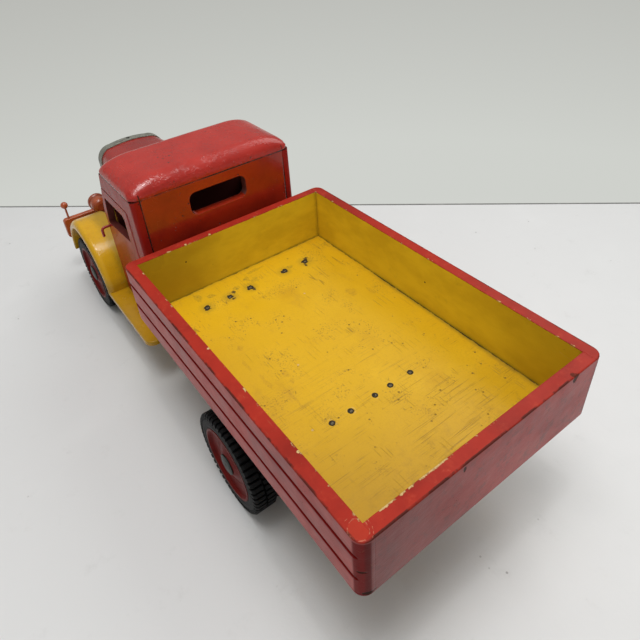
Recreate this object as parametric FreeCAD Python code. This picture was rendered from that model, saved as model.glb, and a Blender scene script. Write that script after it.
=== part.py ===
import FreeCAD, Part
import math
import os
from FreeCAD import Placement, Rotation, Vector

# Wooden push along truck with an open load bed. Millimetres, +X forward, +Y to the left, +Z up.
# The origin is on the ground, under the middle of the truck's length and width.

# ---------------------------------------------------------------- driving dimensions
OVERALL_LENGTH = 676.0

BED_LENGTH = 362.0
BED_WIDTH = 240.0
BED_RIM_HEIGHT = 180.0
BED_WALL_HEIGHT = 64.0
SIDE_BOARD = 11.0
HEADBOARD = 10.0
BED_FLOOR = 4.5
BED_CORNER_RADIUS = 9.0
RIM_ROUNDING = 1.0
BED_FLOOR_GAP = 0.4
BEARER_DEPTH = 18.0
BEARER_HALF_LENGTH = 111.0
BEARER_XS = {"front": -20.0, "rear": -219.5}
FLOOR_SCREW_YS = {"front": (60.7, 33.6, 8.7, -36.5, -64.5), "rear": (51.5, 31.7, 5.2, -12.4, -36.0)}
FLOOR_SCREW_LENGTH = 20.0
SCREW_HEAD_RADIUS = 2.6
SCREW_HEAD_DEPTH = 1.6
SCREW_SHANK_RADIUS = 1.6
GROOVE_DROPS = (18.5, 44.0)
GROOVE_WIDTH = 4.8
GROOVE_DEPTH = 1.4

TYRE_RADIUS = 51.0
TYRE_WIDTH = 23.0
WHEEL_RADIUS = 36.5
TREAD_DEPTH = 4.0
HUB_RADIUS = 11.5
CAP_RADIUS = 10.4
LUGS = 52
LUG_SHARE = 0.6
AXLE_RADIUS = 3.0
RUNNING_CLEARANCE = 0.05
WHEELBASE = 381.5
FRONT_AXLE_X = 232.0
FRONT_WHEEL_FACE = 115.5
REAR_WHEEL_FACE = 123.0
TWIN_GAP = 5.0
TWIN_NECK_RADIUS = 20.0
AXLE_BLOCK_LENGTH = 28.0
AXLE_BLOCK_BOTTOM = 42.0

RAIL_OUTER = 50.0
RAIL_WIDTH = 14.0
RAIL_BOTTOM = 60.0
RAIL_TOP = 88.0
STEP_BOARD = 6.0
STEP_HALF_WIDTH = 117.0

CAB_GAP = 13.0
CAB_LENGTH = 118.0
CAB_HALF_WIDTH = 93.0
CAB_PANEL = 9.5
CAB_FLOOR = 8.0
ROOF_UNDERSIDE = 232.0
ROOF_TOP = 250.0
ROOF_CORNER_RADIUS = 9.0
ROOF_LIP = 2.0
ROOF_END_ROUNDING = 16.0
ROOF_SIDE_FALL = (34.0, 14.5)
ROOF_FRONT_OVERHANG = 3.0
RAKE_START = 172.0
RAKE_SETBACK = 28.0
WINDSCREEN_PANEL = 8.0

DOOR_THICKNESS = 8.0
DOOR_REAR_X = 60.0
DOOR_BOTTOM = 69.2
DOOR_TOP = 211.0
DOOR_GAP = 1.4
DOOR_CORNER_RADIUS = 5.0
DOORWAY_CORNER_RADIUS = 3.5
DOOR_WINDOW = ((78.0, 168.0), (147.5, 161.0), (135.5, 199.0), (77.0, 200.0))
HINGE_PIN_RADIUS = 1.5
HINGE_PIN_BELOW = 6.0
HINGE_PIN_LENGTH = 149.0
HANDLE_X = 150.8
HANDLE_Z = 155.5
HANDLE_WIRE = 1.6
HANDLE_REACH = 17.0
HANDLE_DROP = 11.0
HANDLE_BEND = 3.5

FENDER_INNER_RADIUS = 65.0
FENDER_OUTER_RADIUS = 75.0
FENDER_INNER_FACE = 72.0
FENDER_FRONT_LIP = 58.0

DECK_THICKNESS = 10.0
RADIATOR_REAR_X = 302.0
RADIATOR_DEPTH = 15.0
RADIATOR_HALF_WIDTH = 46.5
RADIATOR_TOP = 187.5
SHELL_SIDE = 8.0
RADIATOR_SCREW_LENGTH = 14.0
GRILLE_SLOTS = 9
GRILLE_PITCH = 7.6
GRILLE_SLOT = 3.4
HOOD_REAR_HALF_WIDTH = 60.0
HOOD_REAR_TOP = 195.0

BUMPER_THICKNESS = 8.0
BUMPER_HALF_LENGTH = 115.0
BUMPER_BOTTOM = 59.0
BUMPER_TOP = 89.0
BUMPER_SCREW_HEIGHT = 74.0
BUMPER_SCREW_LENGTH = 24.0
LAMP_HEIGHT = 112.7
LAMP_Y = 67.5
LAMP_FRONT_X = 308.0
LAMP_RADIUS = 12.4
LAMP_LENGTH = 22.0
LAMP_POST_RADIUS = 2.5
MARKER_STALK_RADIUS = 1.4
MARKER_SOCKET = 8.0
MARKER_Y = 106.5
MARKER_BALL_RADIUS = 5.0
MARKER_BALL_HEIGHT = 110.0

# ---------------------------------------------------------------- sizes that follow
REAR_X = -OVERALL_LENGTH / 2
BED_FRONT_X = REAR_X + BED_LENGTH
BED_HALF_WIDTH = BED_WIDTH / 2
BED_BOTTOM = BED_RIM_HEIGHT - BED_WALL_HEIGHT
AXLE_HEIGHT = TYRE_RADIUS
REAR_AXLE_X = FRONT_AXLE_X - WHEELBASE
CAB_BACK_X = BED_FRONT_X + CAB_GAP
CAB_FRONT_X = CAB_BACK_X + CAB_LENGTH
CAB_INNER = CAB_HALF_WIDTH - CAB_PANEL
DECK_TOP = RAIL_TOP + DECK_THICKNESS
BUMPER_BACK_X = OVERALL_LENGTH / 2 - BUMPER_THICKNESS
DOOR_INNER = CAB_HALF_WIDTH - DOOR_THICKNESS
HANDLE_ROOT = Vector(HANDLE_X, DOOR_INNER + 1, HANDLE_Z)
HINGE_X = DOOR_REAR_X + DOOR_THICKNESS / 2
HINGE_Y = CAB_HALF_WIDTH - DOOR_THICKNESS / 2
RAKE_SLOPE = RAKE_SETBACK / (ROOF_UNDERSIDE - RAKE_START)
STEP_FRONT_X = FRONT_AXLE_X - 64.0
MARKER_X = BUMPER_BACK_X + 3.0

X_AXIS = Vector(1, 0, 0)
Y_AXIS = Vector(0, 1, 0)
Z_AXIS = Vector(0, 0, 1)
DOWN = Vector(0, 0, -1)
BACK = Vector(-1, 0, 0)
SIDES = {"left": 1, "right": -1}


# ---------------------------------------------------------------- helpers
def block(x0, x1, y0, y1, z0, z1):
    """A plain board between two corners."""
    return Part.makeBox(x1 - x0, y1 - y0, z1 - z0, Vector(x0, y0, z0))


def mirrored(shape):
    """The same piece for the right-hand side of the truck."""
    return shape.mirror(Vector(0, 0, 0), Y_AXIS)


def on_side(shape, sign):
    """A left-hand piece, or its mirror image for the right."""
    return shape if sign > 0 else mirrored(shape)


def edges_where(shape, test):
    """The edges whose middle point passes a test."""
    found = []
    for edge in shape.Edges:
        middle = edge.valueAt((edge.FirstParameter + edge.LastParameter) / 2)
        if test(middle, edge):
            found.append(edge)
    return found


def is_along(edge, axis):
    """True for a straight edge that runs along an axis."""
    if not isinstance(edge.Curve, Part.Line):
        return False
    return abs(edge.Curve.Direction.dot(axis)) > 0.999


def rounded_polygon(points, radii):
    """A closed wire through points, each corner rounded to its own radius."""
    count = len(points)
    edges = []
    arcs = []
    for i, corner in enumerate(points):
        to_last = (points[i - 1] - corner).normalize()
        to_next = (points[(i + 1) % count] - corner).normalize()
        half_angle = to_last.getAngle(to_next) / 2
        setback = radii[i] / math.tan(half_angle)
        middle = (to_last + to_next).normalize()
        reach = radii[i] / math.sin(half_angle) - radii[i]
        arcs.append((corner + to_last * setback, corner + middle * reach, corner + to_next * setback))
    for i, (start, middle, end) in enumerate(arcs):
        if radii[i] > 0:
            edges.append(Part.Arc(start, middle, end).toShape())
        following = arcs[(i + 1) % count][0]
        if (following - end).Length > 1e-6:
            edges.append(Part.LineSegment(end, following).toShape())
    return Part.Wire(edges)


def extruded(points, radii, direction):
    """A board cut to a rounded outline."""
    return Part.Face(rounded_polygon(points, radii)).extrude(direction)


def plan_outline(x0, x1, half_width, radii, z0, z1):
    """A board seen from above, with its own corner radii: rear right, front right, front left, rear left."""
    corners = [
        Vector(x0, -half_width, z0),
        Vector(x1, -half_width, z0),
        Vector(x1, half_width, z0),
        Vector(x0, half_width, z0),
    ]
    return extruded(corners, radii, Vector(0, 0, z1 - z0))


def turned(profile, origin, axis):
    """A turned solid: profile is (distance along the axis, radius) pairs, straight from point to point."""
    points = []
    for along, radius in profile:
        points.append(Vector(along, radius, 0))
    points.append(points[0])
    solid = Part.Face(Part.makePolygon(points)).revolve(Vector(0, 0, 0), X_AXIS, 360)
    solid.Placement = Placement(origin, Rotation(X_AXIS, axis))
    return solid


def rod(start, direction, radius, length):
    """A round rod."""
    return Part.makeCylinder(radius, length, start, direction)


def countersunk_screw(top, direction, length):
    """A slotted wood screw whose flat head lies at top and whose shank runs along direction."""
    profile = [
        (0, 0),
        (0, SCREW_HEAD_RADIUS),
        (SCREW_HEAD_DEPTH, SCREW_SHANK_RADIUS),
        (length - 3, SCREW_SHANK_RADIUS),
        (length, 0.4),
        (length, 0),
    ]
    screw = turned(profile, top, direction)
    slot = Part.makeBox(1.2, 0.9, 8, Vector(-0.6, -0.45, -4))
    slot.Placement = Placement(top, Rotation(X_AXIS, direction))
    return screw.cut(slot)


def screw_hole(top, direction, length):
    """The hole that a countersunk screw fills."""
    profile = [
        (0, 0),
        (0, SCREW_HEAD_RADIUS),
        (SCREW_HEAD_DEPTH, SCREW_SHANK_RADIUS),
        (length, SCREW_SHANK_RADIUS),
        (length, 0),
    ]
    return turned(profile, top, direction)


# ---------------------------------------------------------------- load bed
def bed_outline():
    """The whole bed's outer shape, with its four rounded upright corners."""
    return plan_outline(
        REAR_X, BED_FRONT_X, BED_HALF_WIDTH, [BED_CORNER_RADIUS] * 4, BED_BOTTOM, BED_RIM_HEIGHT
    )


def bed_side():
    """Full-length side board with two scratched lining grooves on its outer face."""
    board = block(
        REAR_X, BED_FRONT_X, BED_HALF_WIDTH - SIDE_BOARD, BED_HALF_WIDTH, BED_BOTTOM, BED_RIM_HEIGHT
    )
    for drop in GROOVE_DROPS:
        z = BED_RIM_HEIGHT - drop
        outline = [
            Vector(REAR_X - 1, BED_HALF_WIDTH + 0.5, z - GROOVE_WIDTH / 2),
            Vector(REAR_X - 1, BED_HALF_WIDTH - GROOVE_DEPTH, z - GROOVE_WIDTH / 4),
            Vector(REAR_X - 1, BED_HALF_WIDTH - GROOVE_DEPTH, z + GROOVE_WIDTH / 4),
            Vector(REAR_X - 1, BED_HALF_WIDTH + 0.5, z + GROOVE_WIDTH / 2),
        ]
        outline.append(outline[0])
        groove = Part.Face(Part.makePolygon(outline)).extrude(Vector(BED_LENGTH + 2, 0, 0))
        board = board.cut(groove)
    board = board.common(bed_outline())
    return board.makeFillet(RIM_ROUNDING, edges_where(board, on_outer_rim))


def on_outer_rim(point, edge):
    """True for the outer top edge of a side board, its rounded ends included."""
    if abs(point.z - BED_RIM_HEIGHT) > 0.01:
        return False
    return point.y > BED_HALF_WIDTH - 0.05 or not isinstance(edge.Curve, Part.Line)


def bed_end(x0, x1):
    """Headboard or tailboard, butted between the side boards."""
    inner = BED_HALF_WIDTH - SIDE_BOARD
    board = block(x0, x1, -inner, inner, BED_BOTTOM, BED_RIM_HEIGHT)
    outer_x = x0 if x0 < 0 else x1
    arris = edges_where(
        board, lambda p, e: abs(p.z - BED_RIM_HEIGHT) < 0.01 and abs(p.x - outer_x) < 0.01
    )
    return board.makeFillet(RIM_ROUNDING, arris)


def floor_screw_places(row):
    """Where the screws of one row are driven through the floor."""
    floor_top = BED_BOTTOM + BED_FLOOR
    return [Vector(BEARER_XS[row], y, floor_top) for y in FLOOR_SCREW_YS[row]]


def drilled(shape, places, direction, length):
    """A board with a countersunk hole at each place."""
    for place in places:
        shape = shape.cut(screw_hole(place, direction, length))
    return shape


def make_bed(nodes):
    """Four walls, a thin floor let in between them, two bearers and the floor screws."""
    nodes["bed_side_left"] = bed_side()
    nodes["bed_side_right"] = mirrored(bed_side())
    nodes["bed_headboard"] = bed_end(BED_FRONT_X - HEADBOARD, BED_FRONT_X)
    nodes["bed_tailboard"] = bed_end(REAR_X, REAR_X + SIDE_BOARD)
    floor = block(
        REAR_X + SIDE_BOARD + BED_FLOOR_GAP,
        BED_FRONT_X - HEADBOARD - BED_FLOOR_GAP,
        -BED_HALF_WIDTH + SIDE_BOARD + BED_FLOOR_GAP,
        BED_HALF_WIDTH - SIDE_BOARD - BED_FLOOR_GAP,
        BED_BOTTOM,
        BED_BOTTOM + BED_FLOOR,
    )
    screws = []
    for row, x in BEARER_XS.items():
        places = floor_screw_places(row)
        x0 = x - BEARER_DEPTH / 2
        bearer = block(x0, x0 + BEARER_DEPTH, -BEARER_HALF_LENGTH, BEARER_HALF_LENGTH, RAIL_TOP, BED_BOTTOM)
        floor = drilled(floor, places, DOWN, FLOOR_SCREW_LENGTH)
        nodes["bed_bearer_" + row] = drilled(bearer, places, DOWN, FLOOR_SCREW_LENGTH)
        for place in places:
            screws.append(countersunk_screw(place, DOWN, FLOOR_SCREW_LENGTH))
    nodes["bed_floor"] = floor
    nodes["bed_floor_screws"] = Part.makeCompound(screws)


# ---------------------------------------------------------------- chassis
def axle_block(x, half_length):
    """Cross block under the rails that holds a fixed axle."""
    half_depth = AXLE_BLOCK_LENGTH / 2
    body = block(x - half_depth, x + half_depth, -half_length, half_length, AXLE_BLOCK_BOTTOM, RAIL_BOTTOM)
    lower = edges_where(body, lambda p, e: p.z < AXLE_BLOCK_BOTTOM + 0.01 and is_along(e, Y_AXIS))
    body = body.makeChamfer(2.0, lower)
    return body.cut(rod(Vector(x, -half_length - 1, AXLE_HEIGHT), Y_AXIS, AXLE_RADIUS, 2 * half_length + 2))


def axle_cap(x, face):
    """Domed cap driven on the end of an axle, level with the wheel's rim."""
    profile = [
        (0, AXLE_RADIUS),
        (0, CAP_RADIUS),
        (0.8, CAP_RADIUS),
        (1.6, 0.8 * CAP_RADIUS),
        (2.1, 0.5 * CAP_RADIUS),
        (2.4, 0),
        (1.2, 0),
        (1.2, AXLE_RADIUS),
    ]
    return turned(profile, Vector(x, face - 1.0, AXLE_HEIGHT), Y_AXIS)


def make_axle(nodes, name, x, face, wheel_depth):
    """A fixed steel axle with its block and two end caps."""
    reach = face + 0.2
    nodes[name + "_axle"] = rod(Vector(x, -reach, AXLE_HEIGHT), Y_AXIS, AXLE_RADIUS, 2 * reach)
    nodes[name + "_axle_block"] = axle_block(x, face - wheel_depth - 0.8)
    cap = axle_cap(x, face)
    nodes[name + "_axle_caps"] = Part.makeCompound([cap, mirrored(cap)])


def bumper():
    """Upright board across the front, its ends rounded off."""
    corners = [
        Vector(BUMPER_BACK_X, -BUMPER_HALF_LENGTH, BUMPER_BOTTOM),
        Vector(BUMPER_BACK_X, BUMPER_HALF_LENGTH, BUMPER_BOTTOM),
        Vector(BUMPER_BACK_X, BUMPER_HALF_LENGTH, BUMPER_TOP),
        Vector(BUMPER_BACK_X, -BUMPER_HALF_LENGTH, BUMPER_TOP),
    ]
    board = extruded(corners, [5.0] * 4, Vector(BUMPER_THICKNESS, 0, 0))
    board = board.makeFillet(1.2, edges_where(board, lambda p, e: not is_along(e, X_AXIS)))
    for sign in SIDES.values():
        board = board.cut(marker_stalk(sign))
    return board


def running_board():
    """One plank across the truck under the cab, a step on each side, its rear corners rounded."""
    step_bottom = RAIL_BOTTOM - STEP_BOARD
    radii = [11, 0.5, 0.5, 11]
    step = plan_outline(CAB_BACK_X + 1, STEP_FRONT_X, STEP_HALF_WIDTH, radii, step_bottom, RAIL_BOTTOM)
    upper = edges_where(step, lambda p, e: p.z > RAIL_BOTTOM - 0.01 and p.x < STEP_FRONT_X - 1)
    return step.makeFillet(1.6, upper)


def make_chassis(nodes):
    """Two rails, the cross blocks with their axles, the step board and the bumper."""
    screws = []
    front = bumper()
    rail_inner = RAIL_OUTER - RAIL_WIDTH
    left_rail = block(REAR_X + 20, BUMPER_BACK_X, rail_inner, RAIL_OUTER, RAIL_BOTTOM, RAIL_TOP)
    for side, sign in SIDES.items():
        place = Vector(OVERALL_LENGTH / 2, sign * (rail_inner + RAIL_OUTER) / 2, BUMPER_SCREW_HEIGHT)
        front = drilled(front, [place], BACK, BUMPER_SCREW_LENGTH)
        rail = on_side(left_rail, sign)
        nodes["chassis_rail_" + side] = drilled(rail, [place], BACK, BUMPER_SCREW_LENGTH)
        screws.append(countersunk_screw(place, BACK, BUMPER_SCREW_LENGTH))
    nodes["bumper"] = front
    nodes["bumper_screws"] = Part.makeCompound(screws)
    make_axle(nodes, "front", FRONT_AXLE_X, FRONT_WHEEL_FACE, TYRE_WIDTH)
    make_axle(nodes, "rear", REAR_AXLE_X, REAR_WHEEL_FACE, 2 * TYRE_WIDTH + TWIN_GAP)
    nodes["running_board"] = running_board()


# ---------------------------------------------------------------- cab
def rake_x(z):
    """How far forward the cab's front edge is at a height."""
    return CAB_FRONT_X - max(0.0, z - RAKE_START) * RAKE_SLOPE


def upright(points, radii, y, thickness):
    """A board standing fore and aft: points are (x, z) pairs, and y is its right-hand face."""
    corners = [Vector(x, y, z) for x, z in points]
    return extruded(corners, radii, Vector(0, thickness, 0))


def hinge_pin():
    """Upright pin that runs through the door's rear edge, from the sill to the header."""
    foot = Vector(HINGE_X, HINGE_Y, DOOR_BOTTOM - HINGE_PIN_BELOW)
    return rod(foot, Z_AXIS, HINGE_PIN_RADIUS, HINGE_PIN_LENGTH)


def cab_side():
    """Rear corner post, header over the door and sill under it, in one board."""
    outline = upright(
        [
            (CAB_BACK_X, RAIL_BOTTOM),
            (CAB_FRONT_X, RAIL_BOTTOM),
            (CAB_FRONT_X, DOOR_BOTTOM + 2),
            (rake_x(DOOR_TOP - 2), DOOR_TOP - 2),
            (rake_x(ROOF_UNDERSIDE), ROOF_UNDERSIDE),
            (CAB_BACK_X, ROOF_UNDERSIDE),
        ],
        [0] * 6,
        CAB_INNER,
        CAB_PANEL,
    )
    post_front = DOOR_REAR_X - DOOR_GAP
    doorway = upright(
        [
            (post_front, DOOR_BOTTOM - DOOR_GAP),
            (CAB_FRONT_X + 5, DOOR_BOTTOM - DOOR_GAP),
            (CAB_FRONT_X + 5, DOOR_TOP + DOOR_GAP),
            (post_front, DOOR_TOP + DOOR_GAP),
        ],
        [0, 0, 0, DOORWAY_CORNER_RADIUS],
        CAB_INNER - 1,
        CAB_PANEL + 2,
    )
    board = outline.cut(doorway)
    corner = edges_where(
        board, lambda p, e: is_along(e, Z_AXIS) and p.x < CAB_BACK_X + 0.1 and p.y > CAB_HALF_WIDTH - 0.1
    )
    board = board.makeFillet(5.0, corner)
    return board.cut(hinge_pin())


def door():
    """Door with a raked front edge, a window, and a rear edge rounded about its hinge pin."""
    panel = upright(
        [
            (HINGE_X, DOOR_BOTTOM),
            (CAB_FRONT_X, DOOR_BOTTOM),
            (CAB_FRONT_X, RAKE_START),
            (rake_x(DOOR_TOP), DOOR_TOP),
            (HINGE_X, DOOR_TOP),
        ],
        [0, 1, 3, 1, 0],
        DOOR_INNER,
        DOOR_THICKNESS,
    )
    stile = rod(Vector(HINGE_X, HINGE_Y, DOOR_BOTTOM), Z_AXIS, DOOR_THICKNESS / 2, DOOR_TOP - DOOR_BOTTOM)
    panel = panel.fuse(stile).removeSplitter()
    panel = panel.cut(door_corner_waste())
    window = upright(DOOR_WINDOW, [2, 2, 4, 6], DOOR_INNER - 1, DOOR_THICKNESS + 2)
    foot = Vector(HINGE_X, HINGE_Y, DOOR_BOTTOM - 1)
    bore = rod(foot, Z_AXIS, HINGE_PIN_RADIUS + RUNNING_CLEARANCE, HINGE_PIN_LENGTH)
    shank_hole = rod(HANDLE_ROOT, Y_AXIS, HANDLE_WIRE, DOOR_THICKNESS)
    return panel.cut(window).cut(bore).cut(shank_hole)


def door_corner_waste():
    """What is cut away to round the door's upper rear corner."""
    y = DOOR_INNER - 1
    size = DOOR_CORNER_RADIUS
    square = block(DOOR_REAR_X - 1, DOOR_REAR_X + size, y, CAB_HALF_WIDTH + 1, DOOR_TOP - size, DOOR_TOP + 1)
    kept = rod(Vector(DOOR_REAR_X + size, y, DOOR_TOP - size), Y_AXIS, size, DOOR_THICKNESS + 2)
    return square.cut(kept)


def door_handle():
    """A bent wire handle driven into the door: straight out, then down."""
    out = HANDLE_ROOT + Vector(0, HANDLE_REACH - HANDLE_BEND, 0)
    corner = HANDLE_ROOT + Vector(0, HANDLE_REACH, 0)
    middle = corner + Vector(0, -1, -1) * HANDLE_BEND * (1 - math.sqrt(0.5))
    down = corner + Vector(0, 0, -HANDLE_BEND)
    end = corner + Vector(0, 0, -HANDLE_DROP)
    path = Part.Wire(
        [
            Part.LineSegment(HANDLE_ROOT, out).toShape(),
            Part.Arc(out, middle, down).toShape(),
            Part.LineSegment(down, end).toShape(),
        ]
    )
    section = Part.Wire([Part.Circle(HANDLE_ROOT, Y_AXIS, HANDLE_WIRE).toShape()])
    return path.makePipeShell([section], True, False)


def rounded_window(x0, x1, y0, y1, z0, z1, radius):
    """An opening through an upright cross panel."""
    corners = [Vector(x0, y0, z0), Vector(x0, y1, z0), Vector(x0, y1, z1), Vector(x0, y0, z1)]
    return extruded(corners, [radius] * 4, Vector(x1 - x0, 0, 0))


def cab_back():
    """Back panel between the corner posts, with the rear window."""
    inner_x = CAB_BACK_X + CAB_PANEL
    panel = block(CAB_BACK_X, inner_x, -CAB_INNER, CAB_INNER, RAIL_TOP, ROOF_UNDERSIDE)
    return panel.cut(rounded_window(CAB_BACK_X - 1, inner_x + 1, -33.5, 33.5, 194.5, 220.5, 8))


def windscreen_frame():
    """Raked frame with two lights and a centre bar."""
    foot_x = rake_x(RAKE_START)
    head_x = rake_x(ROOF_UNDERSIDE)
    outline = [
        (foot_x, RAKE_START),
        (head_x, ROOF_UNDERSIDE),
        (head_x - WINDSCREEN_PANEL, ROOF_UNDERSIDE),
        (foot_x - WINDSCREEN_PANEL, RAKE_START),
    ]
    frame = upright(outline, [0] * 4, -CAB_INNER, 2 * CAB_INNER)
    for sign in SIDES.values():
        light = rounded_window(CAB_FRONT_X - 50, CAB_FRONT_X + 5, 5, 72, 200, 223, 5)
        frame = frame.cut(on_side(light, sign))
    return frame


def quarter_ellipse(centre, across, up):
    """A quarter of an ellipse from the end of `across` round to the end of `up`, as one spline."""
    points = []
    for step in range(9):
        angle = math.radians(90 * step / 8)
        points.append(centre + across * math.cos(angle) + up * math.sin(angle))
    curve = Part.BSplineCurve()
    curve.interpolate(points)
    return curve.toShape()


def rolled_section(start, end, fall, drop, direction):
    """An upright section with a low lip at each end, rolling up to a flat top, drawn out along direction."""
    lip = Vector(0, 0, ROOF_TOP - ROOF_UNDERSIDE - drop)
    along = Vector(end - start).normalize() * fall
    rise = Vector(0, 0, drop)
    first = quarter_ellipse(start + lip + along, along * -1, rise)
    last = quarter_ellipse(end + lip - along, along, rise)
    edges = [
        Part.makeLine(start, start + lip),
        first,
        Part.makeLine(start + lip + along + rise, end + lip - along + rise),
        last,
        Part.makeLine(end + lip, end),
        Part.makeLine(end, start),
    ]
    return Part.Face(Part.Wire(Part.__sortEdges__(edges))).extrude(direction)


def cab_roof():
    """A thick roof board: rounded corners, ends rolled over, and sides that fall away more gently."""
    x0 = CAB_BACK_X
    x1 = rake_x(ROOF_UNDERSIDE) + ROOF_FRONT_OVERHANG
    y = CAB_HALF_WIDTH
    z = ROOF_UNDERSIDE
    board = plan_outline(x0, x1, y, [ROOF_CORNER_RADIUS] * 4, z, ROOF_TOP)
    end_drop = ROOF_TOP - ROOF_UNDERSIDE - ROOF_LIP
    corner = Vector(x0, -y, z)
    ends = rolled_section(corner, Vector(x1, -y, z), ROOF_END_ROUNDING, end_drop, Vector(0, 2 * y, 0))
    fall, drop = ROOF_SIDE_FALL
    sides = rolled_section(corner, Vector(x0, y, z), fall, drop, Vector(x1 - x0, 0, 0))
    return board.common(ends).common(sides)


def make_cab(nodes):
    """Back, floor, firewall, windscreen frame, roof, and a side, door, pin and handle each side."""
    nodes["cab_back"] = cab_back()
    inner_back = CAB_BACK_X + CAB_PANEL
    inner_front = CAB_FRONT_X - CAB_PANEL
    floor_top = RAIL_TOP + CAB_FLOOR
    nodes["cab_floor"] = block(inner_back, inner_front, -CAB_INNER, CAB_INNER, RAIL_TOP, floor_top)
    nodes["cab_firewall"] = block(inner_front, CAB_FRONT_X, -CAB_INNER, CAB_INNER, RAIL_TOP, RAKE_START)
    nodes["windscreen_frame"] = windscreen_frame()
    nodes["cab_roof"] = cab_roof()
    for side, sign in SIDES.items():
        nodes["cab_side_" + side] = on_side(cab_side(), sign)
        nodes["door_" + side] = on_side(door(), sign)
        nodes["door_hinge_pin_" + side] = on_side(hinge_pin(), sign)
        nodes["door_handle_" + side] = on_side(door_handle(), sign)


# ---------------------------------------------------------------- hood and radiator
def hood_section(x, half_width, top, radius, bottom=DECK_TOP):
    """The hood's outline across the truck: upright sides, rounded shoulders and a crowned top."""
    crown = 2.5
    shoulder_y = half_width - radius
    shoulder_z = top - crown
    left = [
        Vector(x, half_width, bottom),
        Vector(x, half_width, shoulder_z - radius),
        Vector(x, half_width - radius * (1 - math.sqrt(0.5)), shoulder_z - radius * (1 - math.sqrt(0.5))),
        Vector(x, shoulder_y, shoulder_z),
    ]
    right = [Vector(p.x, -p.y, p.z) for p in left]
    return Part.Wire(
        [
            Part.LineSegment(left[0], left[1]).toShape(),
            Part.Arc(left[1], left[2], left[3]).toShape(),
            Part.Arc(left[3], Vector(x, 0, top), right[3]).toShape(),
            Part.Arc(right[3], right[2], right[1]).toShape(),
            Part.LineSegment(right[1], right[0]).toShape(),
            Part.LineSegment(right[0], left[0]).toShape(),
        ]
    )


def hood():
    """Solid hood that widens and rises from the radiator back to the cab."""
    front = hood_section(RADIATOR_REAR_X, RADIATOR_HALF_WIDTH - 1.5, RADIATOR_TOP - 1.5, 18.0)
    run = RADIATOR_REAR_X - CAB_FRONT_X
    past_cab = 35.0
    half_width = HOOD_REAR_HALF_WIDTH + past_cab * (HOOD_REAR_HALF_WIDTH - RADIATOR_HALF_WIDTH) / run
    top = HOOD_REAR_TOP + past_cab * (HOOD_REAR_TOP - RADIATOR_TOP) / run
    rear = hood_section(CAB_FRONT_X - past_cab, half_width, top, 24.0)
    body = Part.makeLoft([front, rear], True, True)
    cab_space = upright(
        [
            (CAB_BACK_X, RAIL_TOP),
            (CAB_FRONT_X, RAIL_TOP),
            (CAB_FRONT_X, RAKE_START),
            (rake_x(ROOF_UNDERSIDE), ROOF_UNDERSIDE),
            (CAB_BACK_X, ROOF_UNDERSIDE),
        ],
        [0] * 5,
        -CAB_HALF_WIDTH,
        2 * CAB_HALF_WIDTH,
    )
    return body.cut(cab_space)


def radiator_shell():
    """Surround in front of the hood, open in the middle, with a rounded front edge."""
    outer = hood_section(RADIATOR_REAR_X, RADIATOR_HALF_WIDTH, RADIATOR_TOP, 20.0)
    opening = core_section(RADIATOR_REAR_X - 1, DECK_TOP - 2)
    body = Part.Face(outer).extrude(Vector(RADIATOR_DEPTH, 0, 0))
    body = body.cut(Part.Face(opening).extrude(Vector(RADIATOR_DEPTH + 2, 0, 0)))
    return body.makeFillet(4.0, edges_where(body, on_shell_front))


def on_shell_front(point, edge):
    """True for the outer front edge of the radiator's surround."""
    if point.x < RADIATOR_REAR_X + RADIATOR_DEPTH - 0.01 or point.z < DECK_TOP + 1:
        return False
    return abs(point.y) > RADIATOR_HALF_WIDTH - 6 or point.z > RADIATOR_TOP - 4


def core_section(x, bottom):
    """The outline of the opening that the grille board fills."""
    return hood_section(x, RADIATOR_HALF_WIDTH - SHELL_SIDE, RADIATOR_TOP - SHELL_SIDE - 1, 13.0, bottom)


def radiator_core():
    """Board inside the shell with upright grille bars cut in its face."""
    face = Part.Face(core_section(RADIATOR_REAR_X, DECK_TOP))
    thickness = RADIATOR_DEPTH - 5
    body = face.extrude(Vector(thickness, 0, 0))
    front_x = RADIATOR_REAR_X + thickness
    for i in range(GRILLE_SLOTS):
        y = (i - (GRILLE_SLOTS - 1) / 2) * GRILLE_PITCH
        half = GRILLE_SLOT / 2
        slot = block(front_x - 4, front_x + 1, y - half, y + half, DECK_TOP + 6, RADIATOR_TOP - 19)
        body = body.cut(slot)
    return body


def front_deck():
    """Board on the rails that carries the hood, radiator and lamps between the fenders."""
    front_x = RADIATOR_REAR_X + RADIATOR_DEPTH
    deck = plan_outline(CAB_FRONT_X, front_x, FENDER_INNER_FACE, [0, 6, 6, 0], RAIL_TOP, DECK_TOP)
    for sign in SIDES.values():
        deck = deck.cut(lamp_post(sign))
    return deck


def make_front(nodes):
    """Deck, hood, radiator and the screw in the top of its shell."""
    place = Vector(RADIATOR_REAR_X + RADIATOR_DEPTH / 2, 0, RADIATOR_TOP)
    nodes["front_deck"] = front_deck()
    nodes["hood"] = hood()
    nodes["radiator_shell"] = drilled(radiator_shell(), [place], DOWN, RADIATOR_SCREW_LENGTH)
    nodes["radiator_core"] = drilled(radiator_core(), [place], DOWN, RADIATOR_SCREW_LENGTH)
    nodes["radiator_screw"] = countersunk_screw(place, DOWN, RADIATOR_SCREW_LENGTH)


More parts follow.
